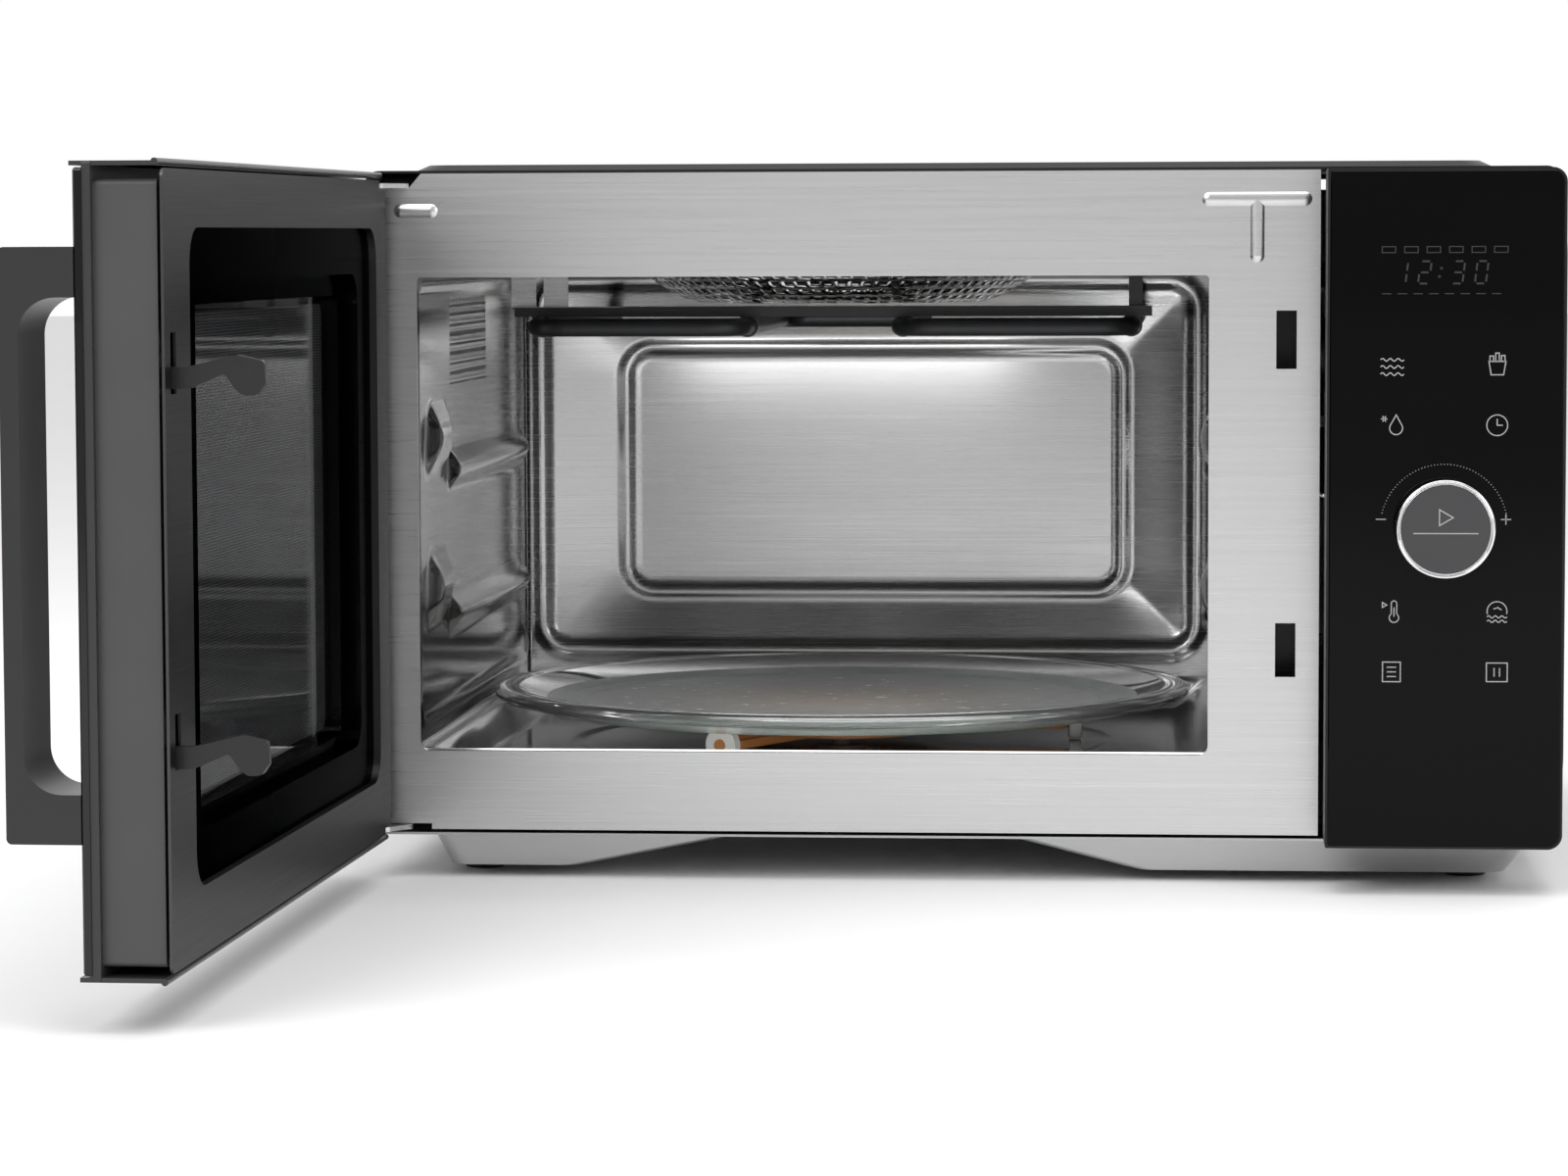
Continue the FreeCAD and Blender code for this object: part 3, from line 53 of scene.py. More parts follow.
def high(node):
    return Vector(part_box(node)[1])


CAVITY_LEFT = high("cavity_left_wall").x - 5 * MM
CAVITY_RIGHT = low("cavity_right_wall").x + 5 * MM
CAVITY_X = (CAVITY_LEFT + CAVITY_RIGHT) / 2
CAVITY_FRONT = low("cavity_floor").y
BACK_Y = low("cavity_back_wall").y
SILL_Z = high("cavity_floor").z
FLOOR_Z = low("cavity_floor").z + 1 * MM
CEILING_Z = low("cavity_ceiling").z
GLASS_Y = low("control_glass").y
DIAL_CENTRE = (low("dial_trim") + high("dial_trim")) / 2
DIAL_FACE_Y = low("dial_knob").y
TRAY_Z = low("glass_tray").z + 4 * MM
TRAY_R = (high("glass_tray").x - low("glass_tray").x) / 2
SHEET = 1 * MM
DOOR_TURN = math.radians(91.24)
HANGER_Z = low("grill_bracket").z + 13.0 * MM
LEFT_HANGER_X = (CAVITY_X - 0.092, CAVITY_X - 0.088)
DOME_R = 95 * MM
BRUSH_DEPTH = 0.004 * MM
PRINT_LIFT = 0.03 * MM

# Side wall pressings in millimetres: ribs as y and z spans from each rib's level, pads above them
RIB_LEVELS = (158.0, 94.0)
RIB_Y = (-78.0, 152.0)
RIB_HEIGHT = 20.0
PAD_Y = (-136.0, -82.0)
PAD_Z = (8.0, 42.0)
PAD_PIVOT = 25.0
PAD_LEAN = 0.28
WALL_BORDER = (-158.0, 166.0, 62.0, 252.0)


# ---------------------------------------------------------------- materials
class Shade:
    """A Principled material with helpers for its procedural inputs."""

    def __init__(self, name, color, metallic=0.0, roughness=0.5, **sockets):
        self.material = bpy.data.materials.new(name)
        self.material.use_nodes = True
        self.nodes = self.material.node_tree.nodes
        self.links = self.material.node_tree.links
        self.shader = self.nodes["Principled BSDF"]
        self.color = (*color, 1.0)
        self.rough = roughness
        self.shader.inputs["Base Color"].default_value = self.color
        self.shader.inputs["Metallic"].default_value = metallic
        self.shader.inputs["Roughness"].default_value = roughness
        for socket, value in sockets.items():
            self.shader.inputs[socket.replace("_", " ")].default_value = value
        self.coords = self.nodes.new("ShaderNodeTexCoord")
        self.height = None

    def mapped(self, scale, turn=0.0):
        """Object coordinates in the row frame, turned about Z and scaled."""
        mapping = self.nodes.new("ShaderNodeMapping")
        mapping.inputs["Rotation"].default_value = (0, 0, turn)
        mapping.inputs["Scale"].default_value = scale
        self.links.new(self.coords.outputs["Object"], mapping.inputs["Vector"])
        return mapping.outputs["Vector"]

    def noise(self, scale, detail=3.0):
        """A noise value, with its own scale along each axis."""
        texture = self.nodes.new("ShaderNodeTexNoise")
        texture.inputs["Scale"].default_value = 1.0
        texture.inputs["Detail"].default_value = detail
        self.links.new(self.mapped(scale), texture.inputs["Vector"])
        return texture.outputs["Fac"]

    def span(self, value, low_value, high_value, clip=(0.25, 0.75)):
        """A value rescaled from its usual spread to a new range."""
        node = self.nodes.new("ShaderNodeMapRange")
        node.inputs["From Min"].default_value = clip[0]
        node.inputs["From Max"].default_value = clip[1]
        node.inputs["To Min"].default_value = low_value
        node.inputs["To Max"].default_value = high_value
        self.links.new(value, node.inputs["Value"])
        return node.outputs["Result"]

    def tint(self, value, amount):
        """Lighten and darken the base colour by a value."""
        mix = self.nodes.new("ShaderNodeMix")
        mix.data_type = "RGBA"
        mix.inputs["A"].default_value = tuple(c * (1 - amount) for c in self.color[:3]) + (1.0,)
        mix.inputs["B"].default_value = tuple(min(c * (1 + amount), 1.0) for c in self.color[:3]) + (1.0,)
        self.links.new(self.span(value, 0, 1), mix.inputs["Factor"])
        self.links.new(mix.outputs["Result"], self.shader.inputs["Base Color"])
        return self

    def mottle(self, value, amount):
        """Let the roughness follow a value."""
        spread = self.span(value, max(self.rough - amount, 0.0), self.rough + amount)
        self.links.new(spread, self.shader.inputs["Roughness"])
        return self

    def bump(self, value, depth):
        """Raise the surface by a value, with a depth in metres; calls stack."""
        node = self.nodes.new("ShaderNodeBump")
        node.inputs["Distance"].default_value = depth
        node.inputs["Strength"].default_value = 1.0
        self.links.new(value, node.inputs["Height"])
        if self.height:
            self.links.new(self.height.outputs["Normal"], node.inputs["Normal"])
        self.height = node
        self.links.new(node.outputs["Normal"], self.shader.inputs["Normal"])
        return self


def brushed(name, color, roughness, grain=1.0, **sockets):
    """Sheet metal brushed horizontally, fine streaks over faint broad ones."""
    shade = Shade(name, color, 1.0, roughness, **sockets)
    fine = shade.noise((14, 14, 3400), 2.0)
    broad = shade.noise((5, 5, 620), 3.0)
    return shade.tint(broad, 0.035 * grain).mottle(fine, 0.05 * grain).bump(fine, BRUSH_DEPTH * grain)


def polished(name, color, roughness, streaks=0.002 * MM):
    """Pressed bright sheet with faint rolling marks and slow waviness."""
    shade = Shade(name, color, 1.0, roughness)
    streak = shade.noise((14, 14, 1500), 2.0)
    wave = shade.noise((22, 22, 22), 2.0)
    return shade.mottle(streak, 0.04).tint(wave, 0.05).bump(streak, streaks)


def moulded(name, color, roughness, grain=0.02 * MM, metallic=0.0, specular=0.5):
    """Plastic or paint with a fine even texture and faint cloudiness."""
    shade = Shade(name, color, metallic, roughness, Specular_IOR_Level=specular)
    fine = shade.noise((1900, 1900, 1900), 2.0)
    cloud = shade.noise((30, 30, 30), 3.0)
    return shade.mottle(cloud, 0.015).tint(cloud, 0.04).bump(fine, grain)


def gloss(name, color, roughness=0.04, **sockets):
    """Smooth glass or enamel with faint wipe marks."""
    shade = Shade(name, color, 0.0, roughness, **sockets)
    wipe = shade.noise((12, 12, 60), 4.0)
    return shade.mottle(wipe, 0.02).tint(wipe, 0.1)


def cast(name, color, roughness):
    """Laminated or cast iron: level-coloured with a coarse skin."""
    shade = Shade(name, color, 0.6, roughness)
    layers = shade.noise((4, 900, 4), 1.0)
    skin = shade.noise((420, 420, 420), 3.0)
    return shade.tint(layers, 0.3).mottle(skin, 0.1).bump(skin, 0.05 * MM)


def clear_glass(name, color, roughness, pebble, clear, ior=1.5):
    """Slightly green pressed glass; the pebbled parts blur what lies behind them."""
    shade = Shade(name, color, 0.0, roughness, IOR=ior, Transmission_Weight=clear)
    cells = shade.nodes.new("ShaderNodeTexVoronoi")
    cells.feature = "SMOOTH_F1"
    shade.links.new(shade.mapped((560, 560, 560)), cells.inputs["Vector"])
    return shade.mottle(shade.noise((160, 160, 160)), 0.04).bump(cells.outputs["Distance"], pebble)


def frosted_glass_with_painted_glow():
    """The tray's satin base, with a warm glow painted over the middle, where the carrier lies close under it.
    """
    shade = clear_glass("tray_base", (0.80, 0.82, 0.81), 0.24, 0.012 * MM, 0.5, 1.33)
    reach = 95 * MM
    painted_glow_centre = shade.nodes.new("ShaderNodeMapping")
    painted_glow_centre.inputs["Scale"].default_value = (1 / reach, 1 / reach, 1 / reach)
    painted_glow_centre.inputs["Location"].default_value = (-CAVITY_X / reach, 0, -TRAY_Z / reach)
    shade.links.new(shade.coords.outputs["Object"], painted_glow_centre.inputs["Vector"])
    # Painted glow: the base colour turns warm orange towards the middle, in place of the lit carrier's light
    # coming through the glass
    glow = shade.nodes.new("ShaderNodeTexGradient")
    glow.gradient_type = "SPHERICAL"
    shade.links.new(painted_glow_centre.outputs["Vector"], glow.inputs["Vector"])
    mix = shade.nodes.new("ShaderNodeMix")
    mix.data_type = "RGBA"
    mix.inputs["A"].default_value = shade.color
    mix.inputs["B"].default_value = (0.98, 0.79, 0.65, 1.0)
    shade.links.new(glow.outputs["Fac"], mix.inputs["Factor"])
    shade.links.new(mix.outputs["Result"], shade.shader.inputs["Base Color"])
    return shade


def bracket_steel():
    """Dark strip, its left hanger coloured bright; worked out from the place on the part."""
    shade = Shade("strip_steel", (0.045, 0.045, 0.047), 1.0, 0.3)
    split = shade.nodes.new("ShaderNodeSeparateXYZ")
    shade.links.new(shade.coords.outputs["Object"], split.inputs["Vector"])
    left = shade.span(split.outputs["X"], 1, 0, LEFT_HANGER_X)
    above = shade.span(split.outputs["Z"], 0, 1, (HANGER_Z, HANGER_Z + 0.5 * MM))
    both = shade.nodes.new("ShaderNodeMath")
    both.operation = "MULTIPLY"
    shade.links.new(left, both.inputs[0])
    shade.links.new(above, both.inputs[1])
    mix = shade.nodes.new("ShaderNodeMix")
    mix.data_type = "RGBA"
    mix.inputs["A"].default_value = shade.color
    mix.inputs["B"].default_value = (0.6, 0.6, 0.6, 1.0)
    shade.links.new(both.outputs["Value"], mix.inputs["Factor"])
    shade.links.new(mix.outputs["Result"], shade.shader.inputs["Base Color"])
    streak = shade.noise((20, 20, 1800), 2.0)
    return shade.mottle(streak, 0.06).bump(streak, 0.003 * MM)


def window_pane():
    """Tinted flat glass of the door's window."""
    shade = Shade("window_glass", (0.75, 0.76, 0.77), 0.0, 0.03, IOR=1.06, Transmission_Weight=1.0)
    wipe = shade.noise((15, 15, 70), 4.0)
    return shade.mottle(wipe, 0.015).tint(wipe, 0.06)


def screen():
    """Dark enamelled sheet with a staggered grid of fine holes."""
    shade = Shade("screen_enamel", (0.12, 0.12, 0.123), 0.0, 0.5, Specular_IOR_Level=0.01)
    pitch = 1.25 * MM
    rows = shade.nodes.new("ShaderNodeTexBrick")
    rows.offset = 0.5
    rows.inputs["Scale"].default_value = 1.0
    rows.inputs["Brick Width"].default_value = pitch
    rows.inputs["Row Height"].default_value = pitch * 0.87
    rows.inputs["Mortar Size"].default_value = pitch * 0.17
    rows.inputs["Mortar Smooth"].default_value = 0.4
    rows.inputs["Color1"].default_value = (0.004, 0.004, 0.004, 1)
    rows.inputs["Color2"].default_value = (0.004, 0.004, 0.004, 1)
    rows.inputs["Mortar"].default_value = (0.075, 0.075, 0.077, 1)
    swap = shade.nodes.new("ShaderNodeCombineXYZ")
    split = shade.nodes.new("ShaderNodeSeparateXYZ")
    shade.links.new(shade.mapped((1, 1, 1), DOOR_TURN), split.inputs["Vector"])
    shade.links.new(split.outputs["X"], swap.inputs["X"])
    shade.links.new(split.outputs["Z"], swap.inputs["Y"])
    shade.links.new(swap.outputs["Vector"], rows.inputs["Vector"])
    shade.links.new(rows.outputs["Color"], shade.shader.inputs["Base Color"])
    return shade.bump(rows.outputs["Fac"], 0.2 * MM)


def printed(name, level):
    """Printed mark: pale ink with a faint unevenness."""
    shade = Shade(name, (level, level, level), 0.0, 0.45)
    return shade.tint(shade.noise((700, 700, 700)), 0.08)


def floor_paint():
    """Plain pale studio floor with a barely visible grain."""
    shade = Shade("studio_floor", (0.86, 0.86, 0.865), 0.0, 0.7)
    return shade.tint(shade.noise((6, 6, 6)), 0.01)


LOOKS = {
    "plate_steel": brushed("plate_steel", (0.62, 0.62, 0.62), 0.31),
    "cavity_steel": polished("cavity_steel", (0.56, 0.56, 0.56), 0.13),
    "back_steel": brushed("back_steel", (0.52, 0.52, 0.52), 0.25, 0.8),
    # Painted shade: the ceiling steel is darker than the walls' steel, so that the slopes which mirror it
    # look darker
    "shaded_roof_steel": polished("shaded_roof_steel", (0.24, 0.235, 0.23), 0.3),
    "grille_steel": polished("grille_steel", (0.60, 0.60, 0.60), 0.22),
    "dark_tube": moulded("dark_tube", (0.035, 0.036, 0.038), 0.42, 0.03 * MM, 0.7),
    "strip_steel": bracket_steel(),
    "zinc": brushed("zinc", (0.50, 0.51, 0.51), 0.42, 0.6),
    "pan_steel": brushed("pan_steel", (0.52, 0.52, 0.525), 0.38, 0.6),
    "bright_steel": polished("bright_steel", (0.72, 0.72, 0.73), 0.12),
    "plated": polished("plated", (0.45, 0.45, 0.46), 0.30),
    "cover_paint": moulded("cover_paint", (0.007, 0.007, 0.0075), 0.38, 0.035 * MM, 0.0, 0.3),
    "rubber": moulded("rubber", (0.015, 0.015, 0.015), 0.75, 0.06 * MM, 0.0, 0.3),
    "panel_plastic": moulded("panel_plastic", (0.006, 0.006, 0.0065), 0.42, 0.01 * MM, 0.0, 0.3),
    "panel_glass": gloss("panel_glass", (0.0016, 0.0016, 0.0018), 0.04, Specular_IOR_Level=0.1),
    "display_lens": gloss("display_lens", (0.006, 0.006, 0.007), 0.1, Specular_IOR_Level=0.15),
    "board": moulded("board", (0.02, 0.10, 0.04), 0.5),
    "grey_plastic": moulded("grey_plastic", (0.18, 0.18, 0.185), 0.5),
    "dial_face": moulded("dial_face", (0.052, 0.052, 0.054), 0.38, 0.008 * MM, 0.0, 0.25),
    "dial_chrome": polished("dial_chrome", (0.80, 0.80, 0.81), 0.08, 0.0005 * MM),
    "black_plastic": moulded("black_plastic", (0.02, 0.02, 0.021), 0.34),
    "latch_plastic": moulded("latch_plastic", (0.018, 0.018, 0.019), 0.30, 0.01 * MM, 0.0, 0.3),
    "alloy": brushed("alloy", (0.62, 0.62, 0.60), 0.38, 0.6),
    "iron": cast("iron", (0.10, 0.09, 0.085), 0.55),
    "ceramic": moulded("ceramic", (0.80, 0.79, 0.74), 0.35),
    "mica": moulded("mica", (0.42, 0.40, 0.35), 0.45),
    "coupler": moulded("coupler", (0.22, 0.17, 0.13), 0.5),
    "tray_base": frosted_glass_with_painted_glow(),
    "tray_border": clear_glass("tray_border", (0.78, 0.87, 0.81), 0.12, 0.45 * MM, 0.5, 1.45),
    "tray_rim": clear_glass("tray_rim", (0.94, 0.96, 0.95), 0.02, 0.003 * MM, 0.92),
    "ring_plastic": moulded("ring_plastic", (0.50, 0.20, 0.06), 0.42),
    "roller_white": moulded("roller_white", (0.80, 0.79, 0.75), 0.38),
    "door_glass": gloss("door_glass", (0.003, 0.003, 0.0035), 0.03, Specular_IOR_Level=0.4),
    "door_frame": moulded("door_frame", (0.030, 0.030, 0.031), 0.32, 0.01 * MM, 0.0, 0.35),
    "door_side": moulded("door_side", (0.060, 0.060, 0.061), 0.42, 0.01 * MM, 0.0, 0.3),
    "door_steel": brushed("door_steel", (0.080, 0.080, 0.082), 0.34, 0.8, Specular_Tint=(0.6, 0.6, 0.6, 1)),
    "enamel": gloss("enamel", (0.014, 0.014, 0.015), 0.14, Metallic=1.0, Specular_Tint=(0.26, 0.26, 0.26, 1)),
    "screen": screen(),
    "window_glass": window_pane(),
    "handle_paint": moulded("handle_paint", (0.024, 0.024, 0.025), 0.34, 0.01 * MM, 0.0, 0.3),
    "print_bright": printed("print_bright", 0.34),
    "print_dim": printed("print_dim", 0.016),
    "floor": floor_paint(),
}

NODE_LOOKS = {
    "plate_steel": ["front_plate"],
    "cavity_steel": ["cavity_left_wall", "cavity_right_wall", "cavity_floor"],
    "shaded_roof_steel": ["cavity_ceiling"],
    "grille_steel": ["ceiling_grille"],
    "mica": ["waveguide_cover"],
    "dark_tube": ["grill_heater", "hot_air_heater"],
    "strip_steel": ["grill_bracket"],
    "zinc": ["rear_panel", "waveguide", "fan_shroud"],
    "pan_steel": ["base_pan", "foot_pods"],
    "bright_steel": ["hinge_brackets", "hinge_pins", "encoder_shaft"],
    "plated": ["cover_screws", "hot_air_motor", "turntable_motor", "thermal_cutouts", "capacitor",
               "latch_spring"],
    "alloy": ["magnetron", "hot_air_fan"],
    "cover_paint": ["outer_cover"],
    "panel_plastic": ["control_housing"],
    "panel_glass": ["control_glass"],
    "display_lens": ["display_module"],
    "board": ["control_board", "noise_filter"],
    "grey_plastic": ["dial_encoder"],
    "dial_face": ["dial_knob"],
    "dial_chrome": ["dial_trim"],
    "black_plastic": ["interlock_housing", "interlock_switches", "mains_inlet", "cooling_fan"],
    "latch_plastic": ["latch_bar"],
    "iron": ["transformer", "fan_motor", "hot_air_housing"],
    "ceramic": ["oven_lamp"],
    "coupler": ["drive_coupler"],
    "ring_plastic": ["roller_ring"],
    "roller_white": ["roller_1", "roller_2", "roller_3"],
    "door_glass": ["door_glass"],
    "door_frame": ["door_front_frame"],
    "door_side": ["door_side_frame"],
    "door_steel": ["door_inner_panel"],
    "enamel": ["door_choke_frame"],
    "screen": ["door_mesh"],
    "window_glass": ["door_inner_glass"],
    "handle_paint": ["door_handle"],
    "rubber": ["rubber_feet"],
    "tray_rim": ["glass_tray"],
    "back_steel": ["cavity_back_wall"],
}

# Edge softening on CAD nodes, in millimetres
SOFT_EDGES = {
    "front_plate": 0.35,
    "outer_cover": 0.8,
    "base_pan": 1.2,
    "foot_pods": 1.2,
    "control_housing": 0.4,
    "door_front_frame": 0.5,
    "door_side_frame": 0.4,
    "door_inner_panel": 0.3,
    "door_choke_frame": 0.5,
    "door_handle": 1.1,
    "latch_bar": 0.5,
    "dial_knob": 0.5,
    "roller_ring": 0.6,
    "drive_coupler": 0.5,
    "hinge_brackets": 0.3,
    "grill_bracket": 0.3,
    "mains_inlet": 0.6,
    "cover_screws": 0.3,
}


def dress_nodes():
    """Give every CAD node its look and softened edges."""
    for look, names in NODE_LOOKS.items():
        for name in names:
            obj = NODES[name]
            obj.data.materials.clear()
            obj.data.materials.append(LOOKS[look].material)
    for name, width in SOFT_EDGES.items():
        bevel = NODES[name].modifiers.new("edges", "BEVEL")
        bevel.width = width * MM
        bevel.segments = 2
        bevel.limit_method = "ANGLE"
        bevel.angle_limit = math.radians(40)
        bevel.harden_normals = True


# ---------------------------------------------------------------- mesh helpers
def piece(name, verts, faces, look, body, slot, replaced=(), smooth=True):
    """A mesh object in the row frame that rides on a body."""
    mesh = bpy.data.meshes.new(name)
    mesh.from_pydata([tuple(v) for v in verts], [], faces)
    mesh.validate()
    mesh.polygons.foreach_set("use_smooth", [smooth] * len(mesh.polygons))
    mesh.materials.append(LOOKS[look].material)
    obj = bpy.data.objects.new(name, mesh)
    bpy.context.scene.collection.objects.link(obj)
    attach(obj, body)
    if replaced:
        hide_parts(*replaced)
    return obj


def thicken(obj, thickness):
    """Give a sheet its thickness on the side that its normals point away from."""
    solid = obj.modifiers.new("thickness", "SOLIDIFY")
    solid.thickness = thickness
    solid.offset = -1.0
    return obj


def smoothstep(t):
    t = min(max(t, 0.0), 1.0)
    return t * t * (3 - 2 * t)


def inside(u, v, box, radius):
    """Distance in from the edge of a rounded rectangle; negative outside it."""
    half = Vector(((box[1] - box[0]) / 2, (box[3] - box[2]) / 2))
    centre = Vector(((box[1] + box[0]) / 2, (box[3] + box[2]) / 2))
    qx = abs(u - centre.x) - half.x + radius
    qy = abs(v - centre.y) - half.y + radius
    outside = math.hypot(max(qx, 0.0), max(qy, 0.0))
    return radius - outside - min(max(qx, qy), 0.0)


def dome(t):
    """A rounded shoulder, steep at its foot and level at its crest."""
    t = min(max(t, 0.0), 1.0)
    return 0.5 * math.sin(t * math.pi / 2) + 0.5 * smoothstep(t)


def bead(distance, half_width):
    """A rounded ridge across a line, 1 at its crest."""
    t = min(abs(distance) / half_width, 1.0)
    return 0.5 + 0.5 * math.cos(math.pi * t)


def grid_lines(start, end, step, extra=()):
    """Evenly spaced levels with some exact ones added."""
    count = max(int(math.ceil((end - start) / step)), 1)
    levels = {round(start + (end - start) * i / count, 7) for i in range(count + 1)}
    kept = [level for level in levels if all(abs(level - e) > step * 0.2 for e in extra)]
    return sorted(set(kept) | {round(e, 7) for e in extra if start <= e <= end} | {start, end})


def pressed_sheet(name, us, vs, place, look, body, slot, replaced, hole=None, flip=False):
    """A sheet over a grid of lines; place(u, v) gives each point, hole(u, v) leaves cells out."""
    verts = [place(u, v) for u in us for v in vs]
    faces = []
    rows = len(vs)
    for i in range(len(us) - 1):
        for j in range(rows - 1):
            if hole and hole((us[i] + us[i + 1]) / 2, (vs[j] + vs[j + 1]) / 2):
                continue
            a = i * rows + j
            quad = (a, a + rows, a + rows + 1, a + 1)
            faces.append(quad[::-1] if flip else quad)
    return thicken(piece(name, verts, faces, look, body, slot, replaced), SHEET * 0.8)


def lathe(profile, segments, centre, axis="Z"):
    """Vertices and faces of a profile of (radius, level) turned about an axis through centre."""
    verts = []
    for i in range(segments):
        c = math.cos(2 * math.pi * i / segments)
        s = math.sin(2 * math.pi * i / segments)
        for r, level in profile:
            offset = (r * c, r * s, level) if axis == "Z" else (r * c, level, -r * s)
            verts.append(centre + Vector(offset))
    n = len(profile)
    faces = []
    for i in range(segments):
        for j in range(n - 1):
            a = i * n + j
            b = ((i + 1) % segments) * n + j
            faces.append((a, b, b + 1, a + 1))
    return verts, faces


# ---------------------------------------------------------------- cavity
def back_wall():
    """Back wall: a rolled ring, a sloped picture frame and a recessed flat panel."""
    dish = tuple(v * MM for v in (-224.0, 102.0, 64.5, 250.0))
    panel = tuple(v * MM for v in (-178.6, 61.0, 97.5, 212.6))
    depth = high("cavity_back_wall").y - SHEET - BACK_Y

    def place(x, z):
        outer = inside(x, z, dish, 16 * MM)
        inner = -inside(x, z, panel, 11 * MM)
        slope = max(outer, 0.0) / (max(outer, 0.0) + max(inner, 0.0) + 1e-9)
        fall = 0.25 * smoothstep(slope) + 0.75 * slope
        ridge = 2.6 * bead(outer - 2.5 * MM, 6.0 * MM) + 2.6 * bead(inner - 2.2 * MM, 5.5 * MM)
        y = BACK_Y + depth * fall - ridge * MM
        return Vector((x, min(y, BACK_Y + depth), z))

    us = grid_lines(CAVITY_LEFT, CAVITY_RIGHT, 1.6 * MM)
    vs = grid_lines(SILL_Z - 2 * MM, CEILING_Z, 1.6 * MM)
    pressed_sheet("cavity_back_wall_pressed", us, vs, place, "back_steel", "casing", "cavity_steel",
                  ["cavity_back_wall"])


def vent_edges(start, end, count, open_part):
    """Pairs of (low, high) edges of evenly spaced vents."""
    pitch = (end - start) / count
    return [(start + pitch * (i + 0.5 - open_part / 2), start + pitch * (i + 0.5 + open_part / 2))
            for i in range(count)]


def wall_relief(y, z):
    """Height of the ribs and pads pressed into a side wall."""
    height = 0.0
    for rib_z in RIB_LEVELS:
        rib = tuple(v * MM for v in (*RIB_Y, rib_z, rib_z + RIB_HEIGHT))
        pad_lean = (z - (rib_z + PAD_PIVOT) * MM) * PAD_LEAN
        pad = tuple(v * MM for v in (*PAD_Y, rib_z + PAD_Z[0], rib_z + PAD_Z[1]))
        height = max(height, 5.4 * dome(inside(y, z, rib, 7 * MM) / (11 * MM)))
        height = max(height, 5.8 * dome(inside(y - pad_lean, z, pad, 11 * MM) / (17 * MM)))
    frame_box = tuple(v * MM for v in WALL_BORDER)
    height += 1.3 * bead(inside(y, z, frame_box, 12 * MM) - 2 * MM, 4.5 * MM)
    return height * MM


def side_wall(side, name, vents):
    """A cavity side wall with soft pressed ribs and a patch of vents."""
    face = CAVITY_LEFT if side < 0 else CAVITY_RIGHT
    columns = vent_edges(vents[0] * MM, vents[1] * MM, vents[4], 0.6)
    rows = vent_edges(vents[2] * MM, vents[3] * MM, vents[5], 0.55)

    def place(y, z):
        return Vector((face - side * wall_relief(y, z), y, z))

    def hole(y, z):
        in_column = any(a < y < b for a, b in columns)
        return in_column and any(a < z < b for a, b in rows)

    ys = grid_lines(CAVITY_FRONT, BACK_Y, 1.7 * MM, [e for pair in columns for e in pair])
    zs = grid_lines(SILL_Z, CEILING_Z, 1.7 * MM, [e for pair in rows for e in pair])
    pressed_sheet(f"{name}_pressed", ys, zs, place, "cavity_steel", "casing", "cavity_steel", [name],
                  hole, flip=side > 0)


def floor_pan():
    """Cavity floor: flat with a faint roller track, rising in a soft curve to the sill."""
    outline = (CAVITY_LEFT, CAVITY_RIGHT, CAVITY_FRONT, BACK_Y)
    rise = SILL_Z - FLOOR_Z

    def place(x, y):
        edge = inside(x, y, outline, 18 * MM)
        t = min(max(edge / (20 * MM), 0.0), 1.0)
        lift = rise * (1 - smoothstep(t) * 0.6 - t * 0.4)
        radius = math.hypot(x - CAVITY_X, y)
        track = 0.9 * MM * smoothstep((radius - 117 * MM) / (5 * MM)) * smoothstep(t * 2)
        return Vector((x, y, FLOOR_Z + lift + track * (1 if t > 0.99 else 0.5)))

    us = grid_lines(CAVITY_LEFT - SHEET, CAVITY_RIGHT + SHEET, 2.2 * MM)
    vs = grid_lines(CAVITY_FRONT, BACK_Y + SHEET, 2.2 * MM)
    pressed_sheet("cavity_floor_pressed", us, vs, place, "cavity_steel", "casing", "cavity_steel",
                  ["cavity_floor"])


def perforated_dome():
    """Roof grille: rings of small square holes on a shallow dome."""
    rim = high("ceiling_grille")
    radius = (rim.x - low("ceiling_grille").x) / 2
    bottom = low("ceiling_grille").z
    top = CEILING_Z - 0.4 * MM
    pitch = 5.6 * MM
    flat = 62 * MM

    def level(r):
        return bottom + (top - bottom) * smoothstep((r - flat) / (DOME_R - flat) * 0.8) / smoothstep(0.8)

    verts = []
    faces = []
    rings = int(DOME_R / pitch)
    for k in range(2, rings):
        r0 = k * pitch
        count = max(int(2 * math.pi * r0 / pitch), 8)
        phase = RNG.random()
        radii = (r0, r0 + pitch * 0.4, r0 + pitch)
        for i in range(count):
            wide = 0.26 + 0.14 * RNG.random()
            lean = 0.5 * MM * (RNG.random() - 0.5)
            angles = [2 * math.pi * (i + phase + f) / count for f in (0.0, wide, 1.0)]
            base = len(verts)
            for angle in angles:
                for j, r in enumerate(radii):
                    z = min(level(r) + (lean if j == 1 else 0), top)
                    verts.append(Vector((CAVITY_X + r * math.cos(angle), r * math.sin(angle), z)))
            for a, b in ((0, 0), (0, 1), (1, 0)):
                p = base + a * 3 + b
                faces.append((p, p + 1, p + 4, p + 3))
    grille = piece("ceiling_grille_perforated", verts, faces, "grille_steel", "casing", "cavity_steel",
                   ["ceiling_grille"])
    weld = grille.modifiers.new("weld", "WELD")
    weld.merge_threshold = 0.15 * MM
    thicken(grille, 0.9 * MM)
    rim_profile = [(93 * MM, 0), (94 * MM, -1.2 * MM), (97 * MM, -1.6 * MM), (radius, -1.2 * MM), (radius, 0)]
    ring = lathe(rim_profile, 128, Vector((CAVITY_X, 0, CEILING_Z)))
    piece("ceiling_grille_rim", *ring, "grille_steel", "casing", "cavity_steel")


